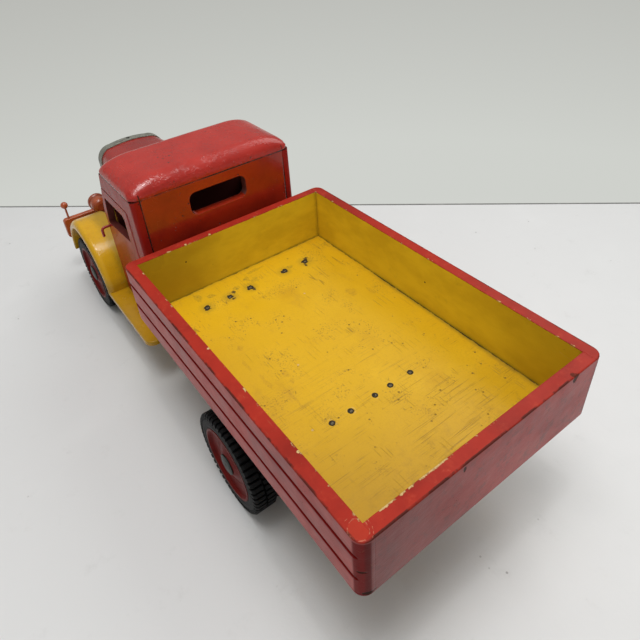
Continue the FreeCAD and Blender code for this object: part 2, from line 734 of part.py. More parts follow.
# ---------------------------------------------------------------- fenders, lamps, markers
def fender():
    """Arched mudguard bent round the front wheel, standing on the step board behind it."""
    under = AXLE_HEIGHT + FENDER_INNER_RADIUS
    over = AXLE_HEIGHT + FENDER_OUTER_RADIUS
    corners = [
        Vector(FRONT_AXLE_X, FENDER_INNER_FACE, under),
        Vector(FRONT_AXLE_X, STEP_HALF_WIDTH, under),
        Vector(FRONT_AXLE_X, STEP_HALF_WIDTH, over),
        Vector(FRONT_AXLE_X, FENDER_INNER_FACE, over),
    ]
    section = Part.Face(rounded_polygon(corners, [1.0, 1.5, 7.5, 5.0]))
    ring = section.revolve(Vector(FRONT_AXLE_X, 0, AXLE_HEIGHT), Y_AXIS, 360)
    reach = FENDER_OUTER_RADIUS + 5
    rear_waste = block(FRONT_AXLE_X - reach, FRONT_AXLE_X, 0, BED_WIDTH, -reach, RAIL_BOTTOM)
    front_waste = block(FRONT_AXLE_X, FRONT_AXLE_X + reach, 0, BED_WIDTH, -reach, FENDER_FRONT_LIP)
    return ring.cut(rear_waste).cut(front_waste)


def lamp_post(sign):
    """Dowel that stands in the deck and holds a headlamp."""
    foot = Vector(LAMP_FRONT_X - LAMP_LENGTH / 2, sign * LAMP_Y, RAIL_TOP + 3)
    return rod(foot, Z_AXIS, LAMP_POST_RADIUS, LAMP_HEIGHT - 8 - foot.z)


def headlamp_body(sign):
    """Turned drum with a domed back."""
    drum = LAMP_RADIUS - 1.2
    seat = LAMP_RADIUS - 2.2
    profile = [
        (0, 0),
        (0, 5.0),
        (1.2, 8.0),
        (3.4, 10.2),
        (6.5, drum),
        (16, drum),
        (16, seat),
        (19, seat),
        (19, 0),
    ]
    body = turned(profile, Vector(LAMP_FRONT_X - LAMP_LENGTH, sign * LAMP_Y, LAMP_HEIGHT), X_AXIS)
    return body.cut(lamp_post(sign))


def headlamp_rim(sign):
    """Ring round the front of the drum."""
    seat = LAMP_RADIUS - 2.2
    edge = LAMP_RADIUS - 0.8
    profile = [(0, seat), (0, edge), (1, LAMP_RADIUS), (5, LAMP_RADIUS), (6, edge), (6, seat)]
    return turned(profile, Vector(LAMP_FRONT_X - 6, sign * LAMP_Y, LAMP_HEIGHT), X_AXIS)


def marker_stalk(sign):
    """Wire stalk let into the top of the bumper."""
    foot = Vector(MARKER_X, sign * MARKER_Y, BUMPER_TOP - MARKER_SOCKET)
    return rod(foot, Z_AXIS, MARKER_STALK_RADIUS, MARKER_BALL_HEIGHT - foot.z)


def marker_ball(sign):
    """Bead on the top of a stalk."""
    centre = Vector(MARKER_X, sign * MARKER_Y, MARKER_BALL_HEIGHT)
    return Part.makeSphere(MARKER_BALL_RADIUS, centre).cut(marker_stalk(sign))


def make_trim(nodes):
    """A fender, a headlamp and a width marker each side."""
    posts = []
    for side, sign in SIDES.items():
        nodes["fender_" + side] = on_side(fender(), sign)
        nodes["headlamp_body_" + side] = headlamp_body(sign)
        nodes["headlamp_rim_" + side] = headlamp_rim(sign)
        nodes["marker_stalk_" + side] = marker_stalk(sign)
        nodes["marker_ball_" + side] = marker_ball(sign)
        posts.append(lamp_post(sign))
    nodes["headlamp_posts"] = Part.makeCompound(posts)


# ---------------------------------------------------------------- wheels
def wheel(x, face, depth):
    """A turned wheel with a dished outer face, its rim as deep as the tyres it carries."""
    bore = AXLE_RADIUS + RUNNING_CLEARANCE
    profile = [
        (0, WHEEL_RADIUS),
        (0, 34.6),
        (-3.2, 33.0),
        (-4.8, 21.0),
        (-1.4, HUB_RADIUS),
        (-1.4, bore),
        (-depth, bore),
        (-depth, WHEEL_RADIUS),
    ]
    return turned(profile, Vector(x, face, AXLE_HEIGHT), Y_AXIS)


def twin_wheel(x, face):
    """A rear wheel: one turning with two rims and a groove between them."""
    inner_rim = TYRE_WIDTH + TWIN_GAP
    groove = [
        (-TYRE_WIDTH, TWIN_NECK_RADIUS),
        (-TYRE_WIDTH, WHEEL_RADIUS + 1),
        (-inner_rim, WHEEL_RADIUS + 1),
        (-inner_rim, TWIN_NECK_RADIUS),
    ]
    waste = turned(groove, Vector(x, face, AXLE_HEIGHT), Y_AXIS)
    return wheel(x, face, inner_rim + TYRE_WIDTH).cut(waste)


def tyre_carcass():
    """The tyre's round body, under its tread, centred on the origin and spinning about Y."""
    half = TYRE_WIDTH / 2
    base = TYRE_RADIUS - TREAD_DEPTH
    corners = [
        Vector(0, -half + 0.6, WHEEL_RADIUS),
        Vector(0, half - 0.6, WHEEL_RADIUS),
        Vector(0, half, WHEEL_RADIUS + 4),
        Vector(0, half - 0.8, base),
        Vector(0, -half + 0.8, base),
        Vector(0, -half, WHEEL_RADIUS + 4),
    ]
    section = Part.Face(rounded_polygon(corners, [0.3, 0.3, 2.0, 1.5, 1.5, 2.0]))
    return section.revolve(Vector(0, 0, 0), Y_AXIS, 360)


def lug(sign, angle):
    """One tread block on one half of the tyre."""
    half = TYRE_WIDTH / 2
    pitch = 360.0 / LUGS
    corners = [
        Vector(0, sign * 0.8, TYRE_RADIUS - TREAD_DEPTH - 2),
        Vector(0, sign * (half - 1.2), TYRE_RADIUS - TREAD_DEPTH - 3),
        Vector(0, sign * half, TYRE_RADIUS - TREAD_DEPTH - 1),
        Vector(0, sign * (half - 0.3), TYRE_RADIUS - 1.8),
        Vector(0, sign * (half - 2.4), TYRE_RADIUS),
        Vector(0, sign * 0.8, TYRE_RADIUS),
    ]
    corners.append(corners[0])
    section = Part.Face(Part.makePolygon(corners))
    section.rotate(Vector(0, 0, 0), Y_AXIS, angle)
    return section.revolve(Vector(0, 0, 0), Y_AXIS, pitch * LUG_SHARE)


def tyre():
    """Rubber tyre with two staggered rows of tread blocks."""
    pitch = 360.0 / LUGS
    blocks = []
    for i in range(LUGS):
        blocks.append(lug(1, i * pitch))
        blocks.append(lug(-1, (i + 0.5) * pitch))
    return tyre_carcass().multiFuse(blocks)


def placed_tyre(rubber, x, outer_face):
    """A copy of the tyre on its wheel."""
    copy = rubber.copy()
    copy.translate(Vector(x, outer_face - TYRE_WIDTH / 2, AXLE_HEIGHT))
    return copy


def make_wheels(nodes):
    """Single front wheels and twin rear wheels, with their tyres."""
    inner_face = REAR_WHEEL_FACE - TYRE_WIDTH - TWIN_GAP
    rubber = tyre()
    left_pieces = {
        "front_wheel_": wheel(FRONT_AXLE_X, FRONT_WHEEL_FACE, TYRE_WIDTH),
        "front_tyre_": placed_tyre(rubber, FRONT_AXLE_X, FRONT_WHEEL_FACE),
        "rear_wheel_": twin_wheel(REAR_AXLE_X, REAR_WHEEL_FACE),
        "rear_outer_tyre_": placed_tyre(rubber, REAR_AXLE_X, REAR_WHEEL_FACE),
        "rear_inner_tyre_": placed_tyre(rubber, REAR_AXLE_X, inner_face),
    }
    for side, sign in SIDES.items():
        for name, piece in left_pieces.items():
            nodes[name + side] = on_side(piece, sign)


# ---------------------------------------------------------------- the whole truck
def build():
    """Every piece, by the name of its node."""
    nodes = {}
    make_bed(nodes)
    make_chassis(nodes)
    make_cab(nodes)
    make_front(nodes)
    make_trim(nodes)
    make_wheels(nodes)
    return nodes


def main():
    """Writes one STEP file per node."""
    os.makedirs("parts", exist_ok=True)
    for name, shape in sorted(build().items()):
        shape.exportStep(os.path.join("parts", name + ".step"))


main()
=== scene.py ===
import math

import bpy
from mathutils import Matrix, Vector, noise as mathnoise


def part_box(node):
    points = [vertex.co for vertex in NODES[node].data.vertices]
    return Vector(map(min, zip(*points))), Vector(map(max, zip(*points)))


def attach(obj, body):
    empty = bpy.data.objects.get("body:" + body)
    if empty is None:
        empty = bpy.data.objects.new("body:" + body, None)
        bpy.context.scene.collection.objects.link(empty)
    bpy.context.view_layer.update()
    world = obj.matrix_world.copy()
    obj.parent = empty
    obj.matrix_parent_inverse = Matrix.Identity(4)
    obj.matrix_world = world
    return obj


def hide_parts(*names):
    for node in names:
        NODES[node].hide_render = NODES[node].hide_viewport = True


# Looks of a painted wooden push along truck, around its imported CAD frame. Metres, +X forward, +Z up.

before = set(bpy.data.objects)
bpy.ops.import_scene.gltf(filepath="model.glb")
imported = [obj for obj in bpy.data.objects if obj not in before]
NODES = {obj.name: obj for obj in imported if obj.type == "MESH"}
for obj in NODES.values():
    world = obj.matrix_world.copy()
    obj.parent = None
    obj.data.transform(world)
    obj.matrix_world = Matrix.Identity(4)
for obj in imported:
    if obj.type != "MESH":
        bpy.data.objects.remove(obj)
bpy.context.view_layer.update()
MM = 0.001

TRUCK = "truck_body"
SIDES = {"left": 1, "right": -1}

# ---------------------------------------------------------------- colours, as linear reflectance
RED = (0.43, 0.022, 0.013)
RED_BRIGHT = (0.54, 0.050, 0.023)
RED_DEEP = (0.27, 0.012, 0.009)
MAROON = (0.21, 0.013, 0.013)
RUST_RED = (0.40, 0.026, 0.008)
YELLOW = (0.66, 0.385, 0.008)
YELLOW_PALE = (0.74, 0.45, 0.014)
YELLOW_DEEP = (0.55, 0.30, 0.007)
MUSTARD = (0.82, 0.595, 0.026)
MUSTARD_DEEP = (0.67, 0.46, 0.018)
OLIVE = (0.24, 0.17, 0.020)
TRIM_ORANGE = (0.44, 0.085, 0.018)
CREAM = (0.62, 0.43, 0.19)
BARE_WOOD = (0.44, 0.27, 0.11)
DIRT = (0.022, 0.017, 0.010)
GREY_PAINT = (0.14, 0.14, 0.115)
RUBBER = (0.007, 0.007, 0.0075)
DUST = (0.070, 0.070, 0.062)
SCREW_BLACK = (0.02, 0.017, 0.014)


# ---------------------------------------------------------------- shader helpers
class Paintbox:
    """Builds one node material, a named step at a time, in the object's own coordinates."""

    def __init__(self, name):
        self.material = bpy.data.materials.new(name)
        self.material.use_nodes = True
        self.tree = self.material.node_tree
        self.shader = self.tree.nodes["Principled BSDF"]
        self.place = self.tree.nodes.new("ShaderNodeTexCoord").outputs["Object"]

    def add(self, kind, inputs=(), **settings):
        """A node with its settings and inputs, each input a socket or a constant."""
        made = self.tree.nodes.new(kind)
        for key, value in settings.items():
            setattr(made, key, value)
        for key, value in dict(inputs).items():
            self.feed(made.inputs[key], value)
        return made

    def feed(self, socket, value):
        """Links a socket, or sets its constant."""
        if isinstance(value, bpy.types.NodeSocket):
            self.tree.links.new(value, socket)
        elif isinstance(value, tuple) and len(value) == 3 and socket.type == "RGBA":
            socket.default_value = (*value, 1.0)
        else:
            socket.default_value = value

    def math(self, operation, a, b=0.0):
        """One step of arithmetic."""
        return self.add("ShaderNodeMath", {0: a, 1: b}, operation=operation).outputs[0]

    def vector_math(self, operation, a, b=(0.0, 0.0, 0.0)):
        """One step of arithmetic with vectors that gives a single value."""
        return self.add("ShaderNodeVectorMath", {0: a, 1: b}, operation=operation).outputs["Value"]

    def over_all(self, operation, values):
        """One operation carried along several values."""
        made = values[0]
        for value in values[1:]:
            made = self.math(operation, made, value)
        return made

    def axes(self):
        """The object's three coordinates."""
        return self.add("ShaderNodeSeparateXYZ", {0: self.place}).outputs

    def minus(self, a, b):
        """a less b."""
        return self.math("SUBTRACT", a, b)

    def plus(self, *values):
        """The sum of several values."""
        return self.over_all("ADD", values)

    def least(self, *values):
        """The smallest of several values."""
        return self.over_all("MINIMUM", values)

    def size(self, value):
        """A value without its sign."""
        return self.math("ABSOLUTE", value)

    def length(self, a, b):
        """How far the point (a, b) is from the origin."""
        square = self.plus(self.math("MULTIPLY", a, a), self.math("MULTIPLY", b, b))
        return self.math("SQRT", square)

    def sway(self, size, amount, detail=3.0):
        """Noise about zero, from -amount to amount."""
        return self.math("MULTIPLY", self.minus(self.noise(size, detail, 0.6), 0.5), 2.0 * amount)

    def line(self, value, at, width):
        """1 on a thin line where value is `at`, soft at its edges."""
        return self.step(self.size(self.minus(value, at)), width, width * 0.35)

    def patches(self, size, share, soft=0.05, detail=5.0, roughness=0.65, **more):
        """Ragged patches that cover roughly the given share of the surface."""
        low = 0.72 - 0.44 * share
        return self.step(self.noise(size, detail, roughness, **more), low, low + soft)

    def nearest(self, places):
        """Distance to the nearest of several points."""
        return self.least(*[self.vector_math("DISTANCE", self.place, place) for place in places])

    def inward(self, centre):
        """1 on faces turned towards a point, 0 on faces turned away from it."""
        arm = self.add("ShaderNodeVectorMath", {0: self.place, 1: centre}, operation="SUBTRACT").outputs[0]
        flat = self.add("ShaderNodeNewGeometry").outputs["True Normal"]
        return self.step(self.vector_math("DOT_PRODUCT", arm, flat), 0.001, -0.001)

    def stretched(self, scale, turn=(0.0, 0.0, 0.0)):
        """The object's coordinates, turned and then scaled along each axis."""
        mapping = self.add("ShaderNodeMapping", {"Vector": self.place, "Rotation": turn, "Scale": scale})
        return mapping.outputs["Vector"]

    def noise(self, size, detail=4.0, roughness=0.55, stretch=(1, 1, 1), turn=(0.0, 0.0, 0.0)):
        """Soft noise whose features are about `size` metres, 0 to 1."""
        scale = tuple(1.0 / (size * s) for s in stretch)
        settings = {
            "Vector": self.stretched(scale, turn),
            "Scale": 1.0,
            "Detail": detail,
            "Roughness": roughness,
        }
        return self.add("ShaderNodeTexNoise", settings).outputs["Fac"]

    def cells(self, size, feature="F1", stretch=(1, 1, 1), turn=(0.0, 0.0, 0.0)):
        """Distance from scattered points, in units of `size` metres."""
        scale = tuple(1.0 / (size * s) for s in stretch)
        settings = {"Vector": self.stretched(scale, turn), "Scale": 1.0}
        return self.add("ShaderNodeTexVoronoi", settings, feature=feature).outputs["Distance"]

    def step(self, value, low, high, out_low=0.0, out_high=1.0):
        """Smooth step from out_low to out_high as value goes from low to high."""
        inputs = {"Value": value, "From Min": low, "From Max": high, "To Min": out_low, "To Max": out_high}
        return self.add("ShaderNodeMapRange", inputs, interpolation_type="SMOOTHSTEP").outputs["Result"]

    def times(self, *values):
        """The product of several values."""
        return self.over_all("MULTIPLY", values)

    def either(self, *values):
        """The largest of several values."""
        return self.over_all("MAXIMUM", values)

    def mix(self, share, a, b):
        """Colour a, with colour b laid over it by share."""
        made = self.add("ShaderNodeMix", data_type="RGBA")
        self.feed(made.inputs["Factor"], share)
        self.feed(made.inputs["A"], a)
        self.feed(made.inputs["B"], b)
        return made.outputs["Result"]

    def away(self, centre, scale):
        """Distance from a place, with each axis scaled."""
        shift = tuple(-c * s for c, s in zip(centre, scale))
        placed = self.add("ShaderNodeMapping", {"Vector": self.place, "Location": shift, "Scale": scale})
        return self.vector_math("LENGTH", placed.outputs["Vector"])

    def spot(self, centre, radii, ragged=0.25, grain=0.004):
        """1 at a place on the object, falling to 0 at its radii, with a ragged outline."""
        distance = self.away(centre, tuple(1.0 / r for r in radii))
        wobble = self.times(self.minus(self.noise(grain, 3.0), 0.5), ragged * 4)
        return self.step(self.plus(distance, wobble), 1.0, 0.72)

    def scratches(self, size, width, turn, share=0.4):
        """Thin, straight, broken lines that run one way."""
        line = self.noise(size, 1.0, 0.3, stretch=(30, 1, 1), turn=turn)
        ridge = self.size(self.minus(line, 0.5))
        broken = self.patches(size * 3.0, share, 0.08, 2.0, 0.5, turn=turn)
        return self.times(self.step(ridge, width, width * 0.3), broken)

    def edges(self, reach, low=0.02, high=0.25):
        """1 on sharp edges, within reach metres of them."""
        rounded = self.add("ShaderNodeBevel", {"Radius": reach}, samples=6).outputs["Normal"]
        flat = self.add("ShaderNodeNewGeometry").outputs["Normal"]
        return self.step(self.minus(1.0, self.vector_math("DOT_PRODUCT", rounded, flat)), low, high)

    def bump(self, layers, rounding=0.0):
        """Stacks height layers, each (height socket, depth in metres), over softly rounded arrises."""
        normal = None
        if rounding:
            normal = self.add("ShaderNodeBevel", {"Radius": rounding}, samples=4).outputs["Normal"]
        for height, depth in layers:
            made = self.add("ShaderNodeBump", {"Height": height, "Distance": depth, "Strength": 1.0})
            if normal is not None:
                self.feed(made.inputs["Normal"], normal)
            normal = made.outputs["Normal"]
        self.feed(self.shader.inputs["Normal"], normal)

    def finish(self, colour, roughness, coat=0.0, metallic=0.0, specular=0.5):
        """Connects the finished look to the shader."""
        self.feed(self.shader.inputs["Base Color"], colour)
        self.feed(self.shader.inputs["Roughness"], roughness)
        self.feed(self.shader.inputs["Metallic"], metallic)
        self.feed(self.shader.inputs["Coat Weight"], coat)
        self.shader.inputs["Coat Roughness"].default_value = 0.08
        self.feed(self.shader.inputs["Specular IOR Level"], specular)
        return self.material


def worn_edges(p, share, reach=0.0018):
    """Where paint has chipped off an arris, in broken patches."""
    return p.times(p.edges(reach), p.patches(0.007, share, 0.03))


def specks(p, size, share):
    """Small round pits and spots, gathered in places."""
    return p.times(p.step(p.cells(size), 0.15, 0.08), p.patches(0.03, share, 0.08, 3.0))


RIM_TOP = 0.180
BIG_CHIPS = ((0.0155, 0.0278), (0.0150, 0.0560), (-0.137, 0.1098), (-0.2630, 0.1098))
KNOCKS = (
    ((-0.3355, 0.1175, 0.1455), (0.0040, 0.0045, 0.0014), 0.35),
    ((-0.3375, 0.1150, 0.1190), (0.0060, 0.0060, 0.0020), 0.45),
    ((-0.3380, 0.0334, 0.1755), (0.0020, 0.0016, 0.0030), 0.35),
    ((-0.3380, -0.0840, 0.1775), (0.0060, 0.0040, 0.0040), 0.45),
)
WALL_NAILS = ((0.014, 0.060, 0.1605), (-0.163, -0.109, 0.151))


class BedPlace:
    """Where a point of the bed's boards lies: past the inner walls, below the rim, out from the middle."""

    def __init__(self, p):
        self.x, self.y, self.z = p.axes()
        self.across = p.size(self.y)
        self.out = p.either(p.minus(self.across, 0.109), p.minus(-0.327, self.x), p.minus(self.x, 0.014))
        self.below = p.minus(RIM_TOP, self.z)
        self.on_rim = p.step(self.below, 0.0016, 0.0008)
        self.brush = p.noise(0.0016, 3.0, 0.6, stretch=(12, 12, 1))


def bed_grooves(p, at):
    """1 in the two grooves along each side board."""
    lined = p.plus(at.z, p.sway(0.020, 0.0002))
    both = p.either(p.line(lined, 0.1612, 0.0044), p.line(lined, 0.1357, 0.0044))
    return p.times(both, p.step(at.across, 0.1155, 0.1165), p.step(at.x, -0.3310, -0.3290))


def bed_red(p, at, grooves, shaded_round_corner):
    """The red of the outside and the rim: rubbed on top, darker in the grooves and tired at the tail, with
    painted shade across the tail, deepest at its left, and on the rounded rear corners.
    """
    red = p.mix(p.step(p.noise(0.045, 5.0, 0.6), 0.40, 0.75), RED, RED_DEEP)
    rubbed = p.times(p.patches(0.012, 0.45, 0.20), p.step(at.below, 0.0015, 0.0006))
    red = p.mix(p.times(rubbed, 0.55), red, RED_BRIGHT)
    pale = p.times(p.patches(0.006, 0.30, 0.12, 6.0, 0.75), p.step(at.below, 0.0012, 0.0004))
    red = p.mix(p.times(pale, 0.30), red, (0.50, 0.12, 0.075))
    red = p.mix(p.step(at.brush, 0.5, 0.8, 0.0, 0.25), red, RED_DEEP)
    red = p.mix(p.times(grooves, 0.92), red, MAROON)
    # Painted shade: the rounded rear corners darkened, standing in for the dark room they reflect.
    red = p.mix(p.times(shaded_round_corner, 0.85), red, (0.15, 0.004, 0.004))
    # Painted shade across the tail board, deepest towards its left end.
    on_tail = p.step(at.x, -0.3360, -0.3372)
    tail_shade = p.times(on_tail, p.step(p.plus(at.y, p.sway(0.06, 0.03)), -0.020, 0.105))
    red = p.mix(p.times(tail_shade, 0.60), red, (0.08, 0.006, 0.005))
    tired = p.times(
        p.patches(0.010, 0.42, 0.06, 6.0, 0.8), p.step(at.x, -0.326, -0.330), p.step(at.below, 0.001, 0.005)
    )
    return p.mix(p.times(tired, 0.40), red, (0.10, 0.012, 0.010))


def worn_ring(p, at, red):
    """The red with the rim's round worn patch, at its left rear corner, laid over it, and the pale rings."""
    reach = p.plus(p.away((-0.3285, 0.1135, 0.0), (1 / 0.0070, 1 / 0.0062, 0.0)), p.sway(0.004, 0.14))
    red = p.mix(p.times(at.on_rim, 0.30), red, (0.22, 0.035, 0.018))
    red = p.mix(p.times(p.step(reach, 1.0, 0.9), at.on_rim, 0.45), red, (0.47, 0.045, 0.020))
    rings = p.either(p.line(reach, 1.0, 0.08), p.line(reach, 1.35, 0.05))
    rings = p.times(rings, at.on_rim, p.patches(0.006, 0.50))
    return p.mix(p.times(rings, 0.42), red, (0.66, 0.28, 0.16)), rings


def bed_yellow(p, at):
    """The yellow of the inner walls: grimy in corners, with painted shade at the headboard's left and at the
    right wall's rear end.
    """
    cloud = p.noise(0.06, 4.0, 0.6, stretch=(1, 1, 0.5))
    yellow = p.mix(p.step(cloud, 0.35, 0.7), MUSTARD, MUSTARD_DEEP)
    yellow = p.mix(p.step(at.brush, 0.45, 0.8, 0.0, 0.20), yellow, MUSTARD_DEEP)
    to_corner = p.either(p.minus(0.109, at.across), p.least(p.plus(at.x, 0.327), p.minus(0.014, at.x)))
    on_headboard = p.step(at.x, 0.010, 0.013)
    # Grime in the corners and along the floor, a dark smudge, and painted shade across the headboard's left.
    grime_and_shade = p.either(
        p.step(p.plus(to_corner, p.sway(0.006, 0.003)), 0.0050, -0.002),
        p.times(p.step(p.plus(at.z, p.sway(0.010, 0.002)), 0.1235, 0.1203), 0.5),
        p.spot((0.014, 0.100, 0.174), (0.01, 0.022, 0.012), 0.45, 0.008),
        p.times(p.step(p.plus(at.y, p.sway(0.04, 0.02)), -0.020, 0.100), on_headboard, 0.80),
        p.times(p.patches(0.020, 0.30, 0.15), 0.35),
    )
    yellow = p.mix(p.times(grime_and_shade, 0.55), yellow, OLIVE)
    # Painted shade towards the right wall's rear end and the headboard's left end.
    along_right = p.step(at.y, -0.1075, -0.1088)
    right_wall_rear_shade = p.times(p.step(p.plus(at.x, p.sway(0.05, 0.02)), -0.210, -0.320), along_right)
    headboard_left_shade = p.times(p.step(p.plus(at.y, p.sway(0.04, 0.02)), -0.010, 0.100), on_headboard)
    yellow = p.mix(p.times(p.either(right_wall_rear_shade, headboard_left_shade), 0.55), yellow, (0.36, 0.22, 0.008))
    nails = p.step(p.nearest(WALL_NAILS), 0.0011, 0.0007)
    return p.mix(p.either(nails, p.times(specks(p, 0.006, 0.25), 0.7)), yellow, DIRT)


def bed_chips(p, at):
    """1 where paint has chipped off along the rim's inner arris, most of all at the tail."""
    arris = p.plus(p.length(at.out, at.below), p.sway(0.006, 0.0008), p.sway(0.0020, 0.0011))
    tail_run = p.times(p.step(at.x, -0.322, -0.326), p.step(at.y, 0.030, 0.045), p.step(at.y, 0.098, 0.088))
    share = p.plus(0.46, p.times(tail_run, -0.13))
    small = p.times(
        p.step(arris, 0.0014, 0.0008), p.step(p.minus(p.noise(0.009, 5.0, 0.7), share), 0.120, 0.17)
    )
    to_big = p.nearest([(*place, RIM_TOP) for place in BIG_CHIPS])
    return p.either(small, p.step(p.plus(to_big, p.sway(0.003, 0.0010)), 0.0015, 0.0011))


def bed_paint():
    """Bed boards: red outside and over the rim, yellow inside, rubbed and chipped along both arrises."""
    p = Paintbox("bed_paint")
    at = BedPlace(p)
    wander = p.plus(p.sway(0.020, 0.0006), p.sway(0.0018, 0.0005))
    inside = p.times(p.step(at.out, 0.0006, 0.0003), p.step(p.plus(at.below, wander), 0.0003, 0.0007))
    grooves = bed_grooves(p, at)
    # Painted shade on the rounded rear corners of the bed.
    shaded_round_corner = p.times(
        p.step(at.x, -0.3290, -0.3310), p.step(at.across, 0.1105, 0.1125), p.step(at.below, 0.001, 0.003)
    )
    knock = p.either(*[p.spot(*mark) for mark in KNOCKS])
    red = p.mix(p.times(knock, 0.85), bed_red(p, at, grooves, shaded_round_corner), DIRT)
    red, rings = worn_ring(p, at, red)

    tone = p.mix(inside, red, bed_yellow(p, at))
    chips = bed_chips(p, at)
    tone = p.mix(chips, tone, p.mix(p.patches(0.0025, 0.5), CREAM, BARE_WOOD))
    outer_arris = p.plus(p.length(p.minus(at.out, 0.0106), at.below), p.sway(0.005, 0.0006))
    dark_line = p.times(p.step(outer_arris, 0.0013, 0.0007), p.patches(0.030, 0.62, 0.10))
    tone = p.mix(p.times(dark_line, 0.80), tone, (0.045, 0.014, 0.010))
    low_arris = p.times(p.edges(0.0016), p.step(at.z, 0.122, 0.119), p.patches(0.012, 0.55))
    tone = p.mix(p.times(low_arris, 0.7), tone, DIRT)
    spots = p.times(specks(p, 0.0042, 0.35), p.minus(1.0, inside))
    tone = p.mix(p.times(spots, 0.75), tone, DIRT)
    lines = p.either(
        p.scratches(0.006, 0.010, (0.0, 0.0, 0.35), 0.22), p.scratches(0.005, 0.010, (0.5, 0.3, 1.1), 0.18)
    )
    tone = p.mix(p.times(lines, 0.35), tone, p.mix(0.35, tone, CREAM))

    bare = p.either(chips, p.times(spots, 0.8), p.times(knock, 0.9))
    rough = p.step(p.noise(0.03, 5.0, 0.6), 0.35, 0.75, 0.30, 0.42)
    rough = p.either(rough, p.times(bare, 0.75), p.times(inside, 0.45), p.times(lines, 0.5))
    p.bump(
        [
            (p.noise(0.018, 2.0), 0.00040),
            (at.brush, 0.00009),
            (p.noise(0.0012, 3.0, 0.6), 0.00004),
            (p.minus(1.0, bare), 0.00035),
            (p.minus(1.0, p.either(lines, rings)), 0.00008),
        ],
        0.0009,
    )
    matt = p.either(p.times(shaded_round_corner, 0.85), grooves, p.times(inside, 0.4), p.times(at.on_rim, 0.60))
    shine = p.minus(1.0, matt)
    return p.finish(tone, rough, p.times(shine, 0.08), specular=p.times(shine, 0.22))


BRUSH_MARKS = (
    ((-0.094, 0.065), (0.005, 0.003)),
    ((-0.118, 0.072), (0.009, 0.002)),
    ((-0.147, 0.069), (0.012, 0.0022)),
    ((-0.150, 0.050), (0.005, 0.0035)),
    ((-0.160, 0.050), (0.004, 0.0022)),
    ((-0.175, 0.060), (0.016, 0.0018)),
    ((-0.108, -0.086), (0.010, 0.002)),
    ((-0.098, -0.069), (0.008, 0.006)),
)
OLIVE_MARKS = (
    ((0.001, 0.061), (0.008, 0.005)),
    ((-0.005, 0.049), (0.004, 0.005)),
    ((-0.011, -0.003), (0.006, 0.005)),
    ((-0.011, 0.020), (0.004, 0.005)),
    ((-0.005, 0.004), (0.005, 0.004)),
    ((0.004, -0.010), (0.003, 0.012)),
    ((-0.017, -0.045), (0.003, 0.004)),
)
FRONT_SCREWS = ((-0.020, 0.0607), (-0.020, 0.0336), (-0.020, 0.0087), (-0.020, -0.0365), (-0.020, -0.0645))
FRONT_STAINS = (
    (-0.0245, 0.0320), (-0.0150, 0.0260), (-0.0250, 0.0070), (-0.0160, -0.0680), (-0.0270, -0.0610)
)
REAR_SCREWS = tuple((-0.2195, y) for y in (0.0515, 0.0317, 0.0052, -0.0124, -0.0360))
FLOOR_TOP = 0.1205
FLOOR_NICKS = ((-0.148, 0.035), (-0.215, 0.068), (-0.067, -0.030))


def on_floor(places):
    """Places on the bed floor, from their forward and leftward coordinates."""
    return [(forward, left, FLOOR_TOP) for forward, left in places]


def marks_on_floor(p, marks):
    """Ragged marks on the bed floor, each given by its middle and its half sizes."""
    spots = []
    for (forward, left), (half_length, half_width) in marks:
        spots.append(p.spot((forward, left, FLOOR_TOP), (half_length, half_width, 0.01), 0.45, 0.005))
    return p.either(*spots)


def floor_ground(p, grain):
    """The floor's own yellow, with clouds, grain, ochre patches and the larger placed marks."""
    tone = p.mix(p.patches(0.075, 0.45, 0.22, 4.0, 0.55), YELLOW, YELLOW_DEEP)
    tone = p.mix(p.times(p.patches(0.055, 0.40, 0.25, 3.0, 0.5), 0.7), tone, YELLOW_PALE)
    tone = p.mix(p.step(grain, 0.50, 0.85, 0.0, 0.28), tone, (0.56, 0.30, 0.012))
    ochre = p.times(p.patches(0.022, 0.36, 0.12, 6.0, 0.75, stretch=(1.8, 1, 1)), 0.38)
    tone = p.mix(ochre, tone, (0.50, 0.28, 0.020))
    mottle_share = p.step(p.noise(0.05, 3.0), 0.30, 0.65, 0.10, 0.42)
    mottled = p.times(p.step(p.noise(0.0015, 4.0, 0.7), 0.46, 0.72), mottle_share)
    tone = p.mix(mottled, tone, (0.50, 0.27, 0.010))
    broken = p.plus(0.35, p.times(p.patches(0.0024, 0.55, 0.20), 0.65))
    tone = p.mix(p.times(marks_on_floor(p, BRUSH_MARKS), broken, 0.50), tone, (0.34, 0.17, 0.020))
    return p.mix(p.times(marks_on_floor(p, OLIVE_MARKS), broken, 0.75), tone, OLIVE)


def floor_hatch(p, x):
    """Fine scores across the floor, thickest over its rear half."""
    rear_half = p.step(x, -0.130, -0.230)
    fine = p.noise(0.00075, 2.0, 0.5, stretch=(1, 60, 1))
    share = p.plus(0.15, p.times(rear_half, 0.85))
    return p.times(p.step(fine, 0.56, 0.66), p.patches(0.035, 0.66, 0.20, 4.0), share)


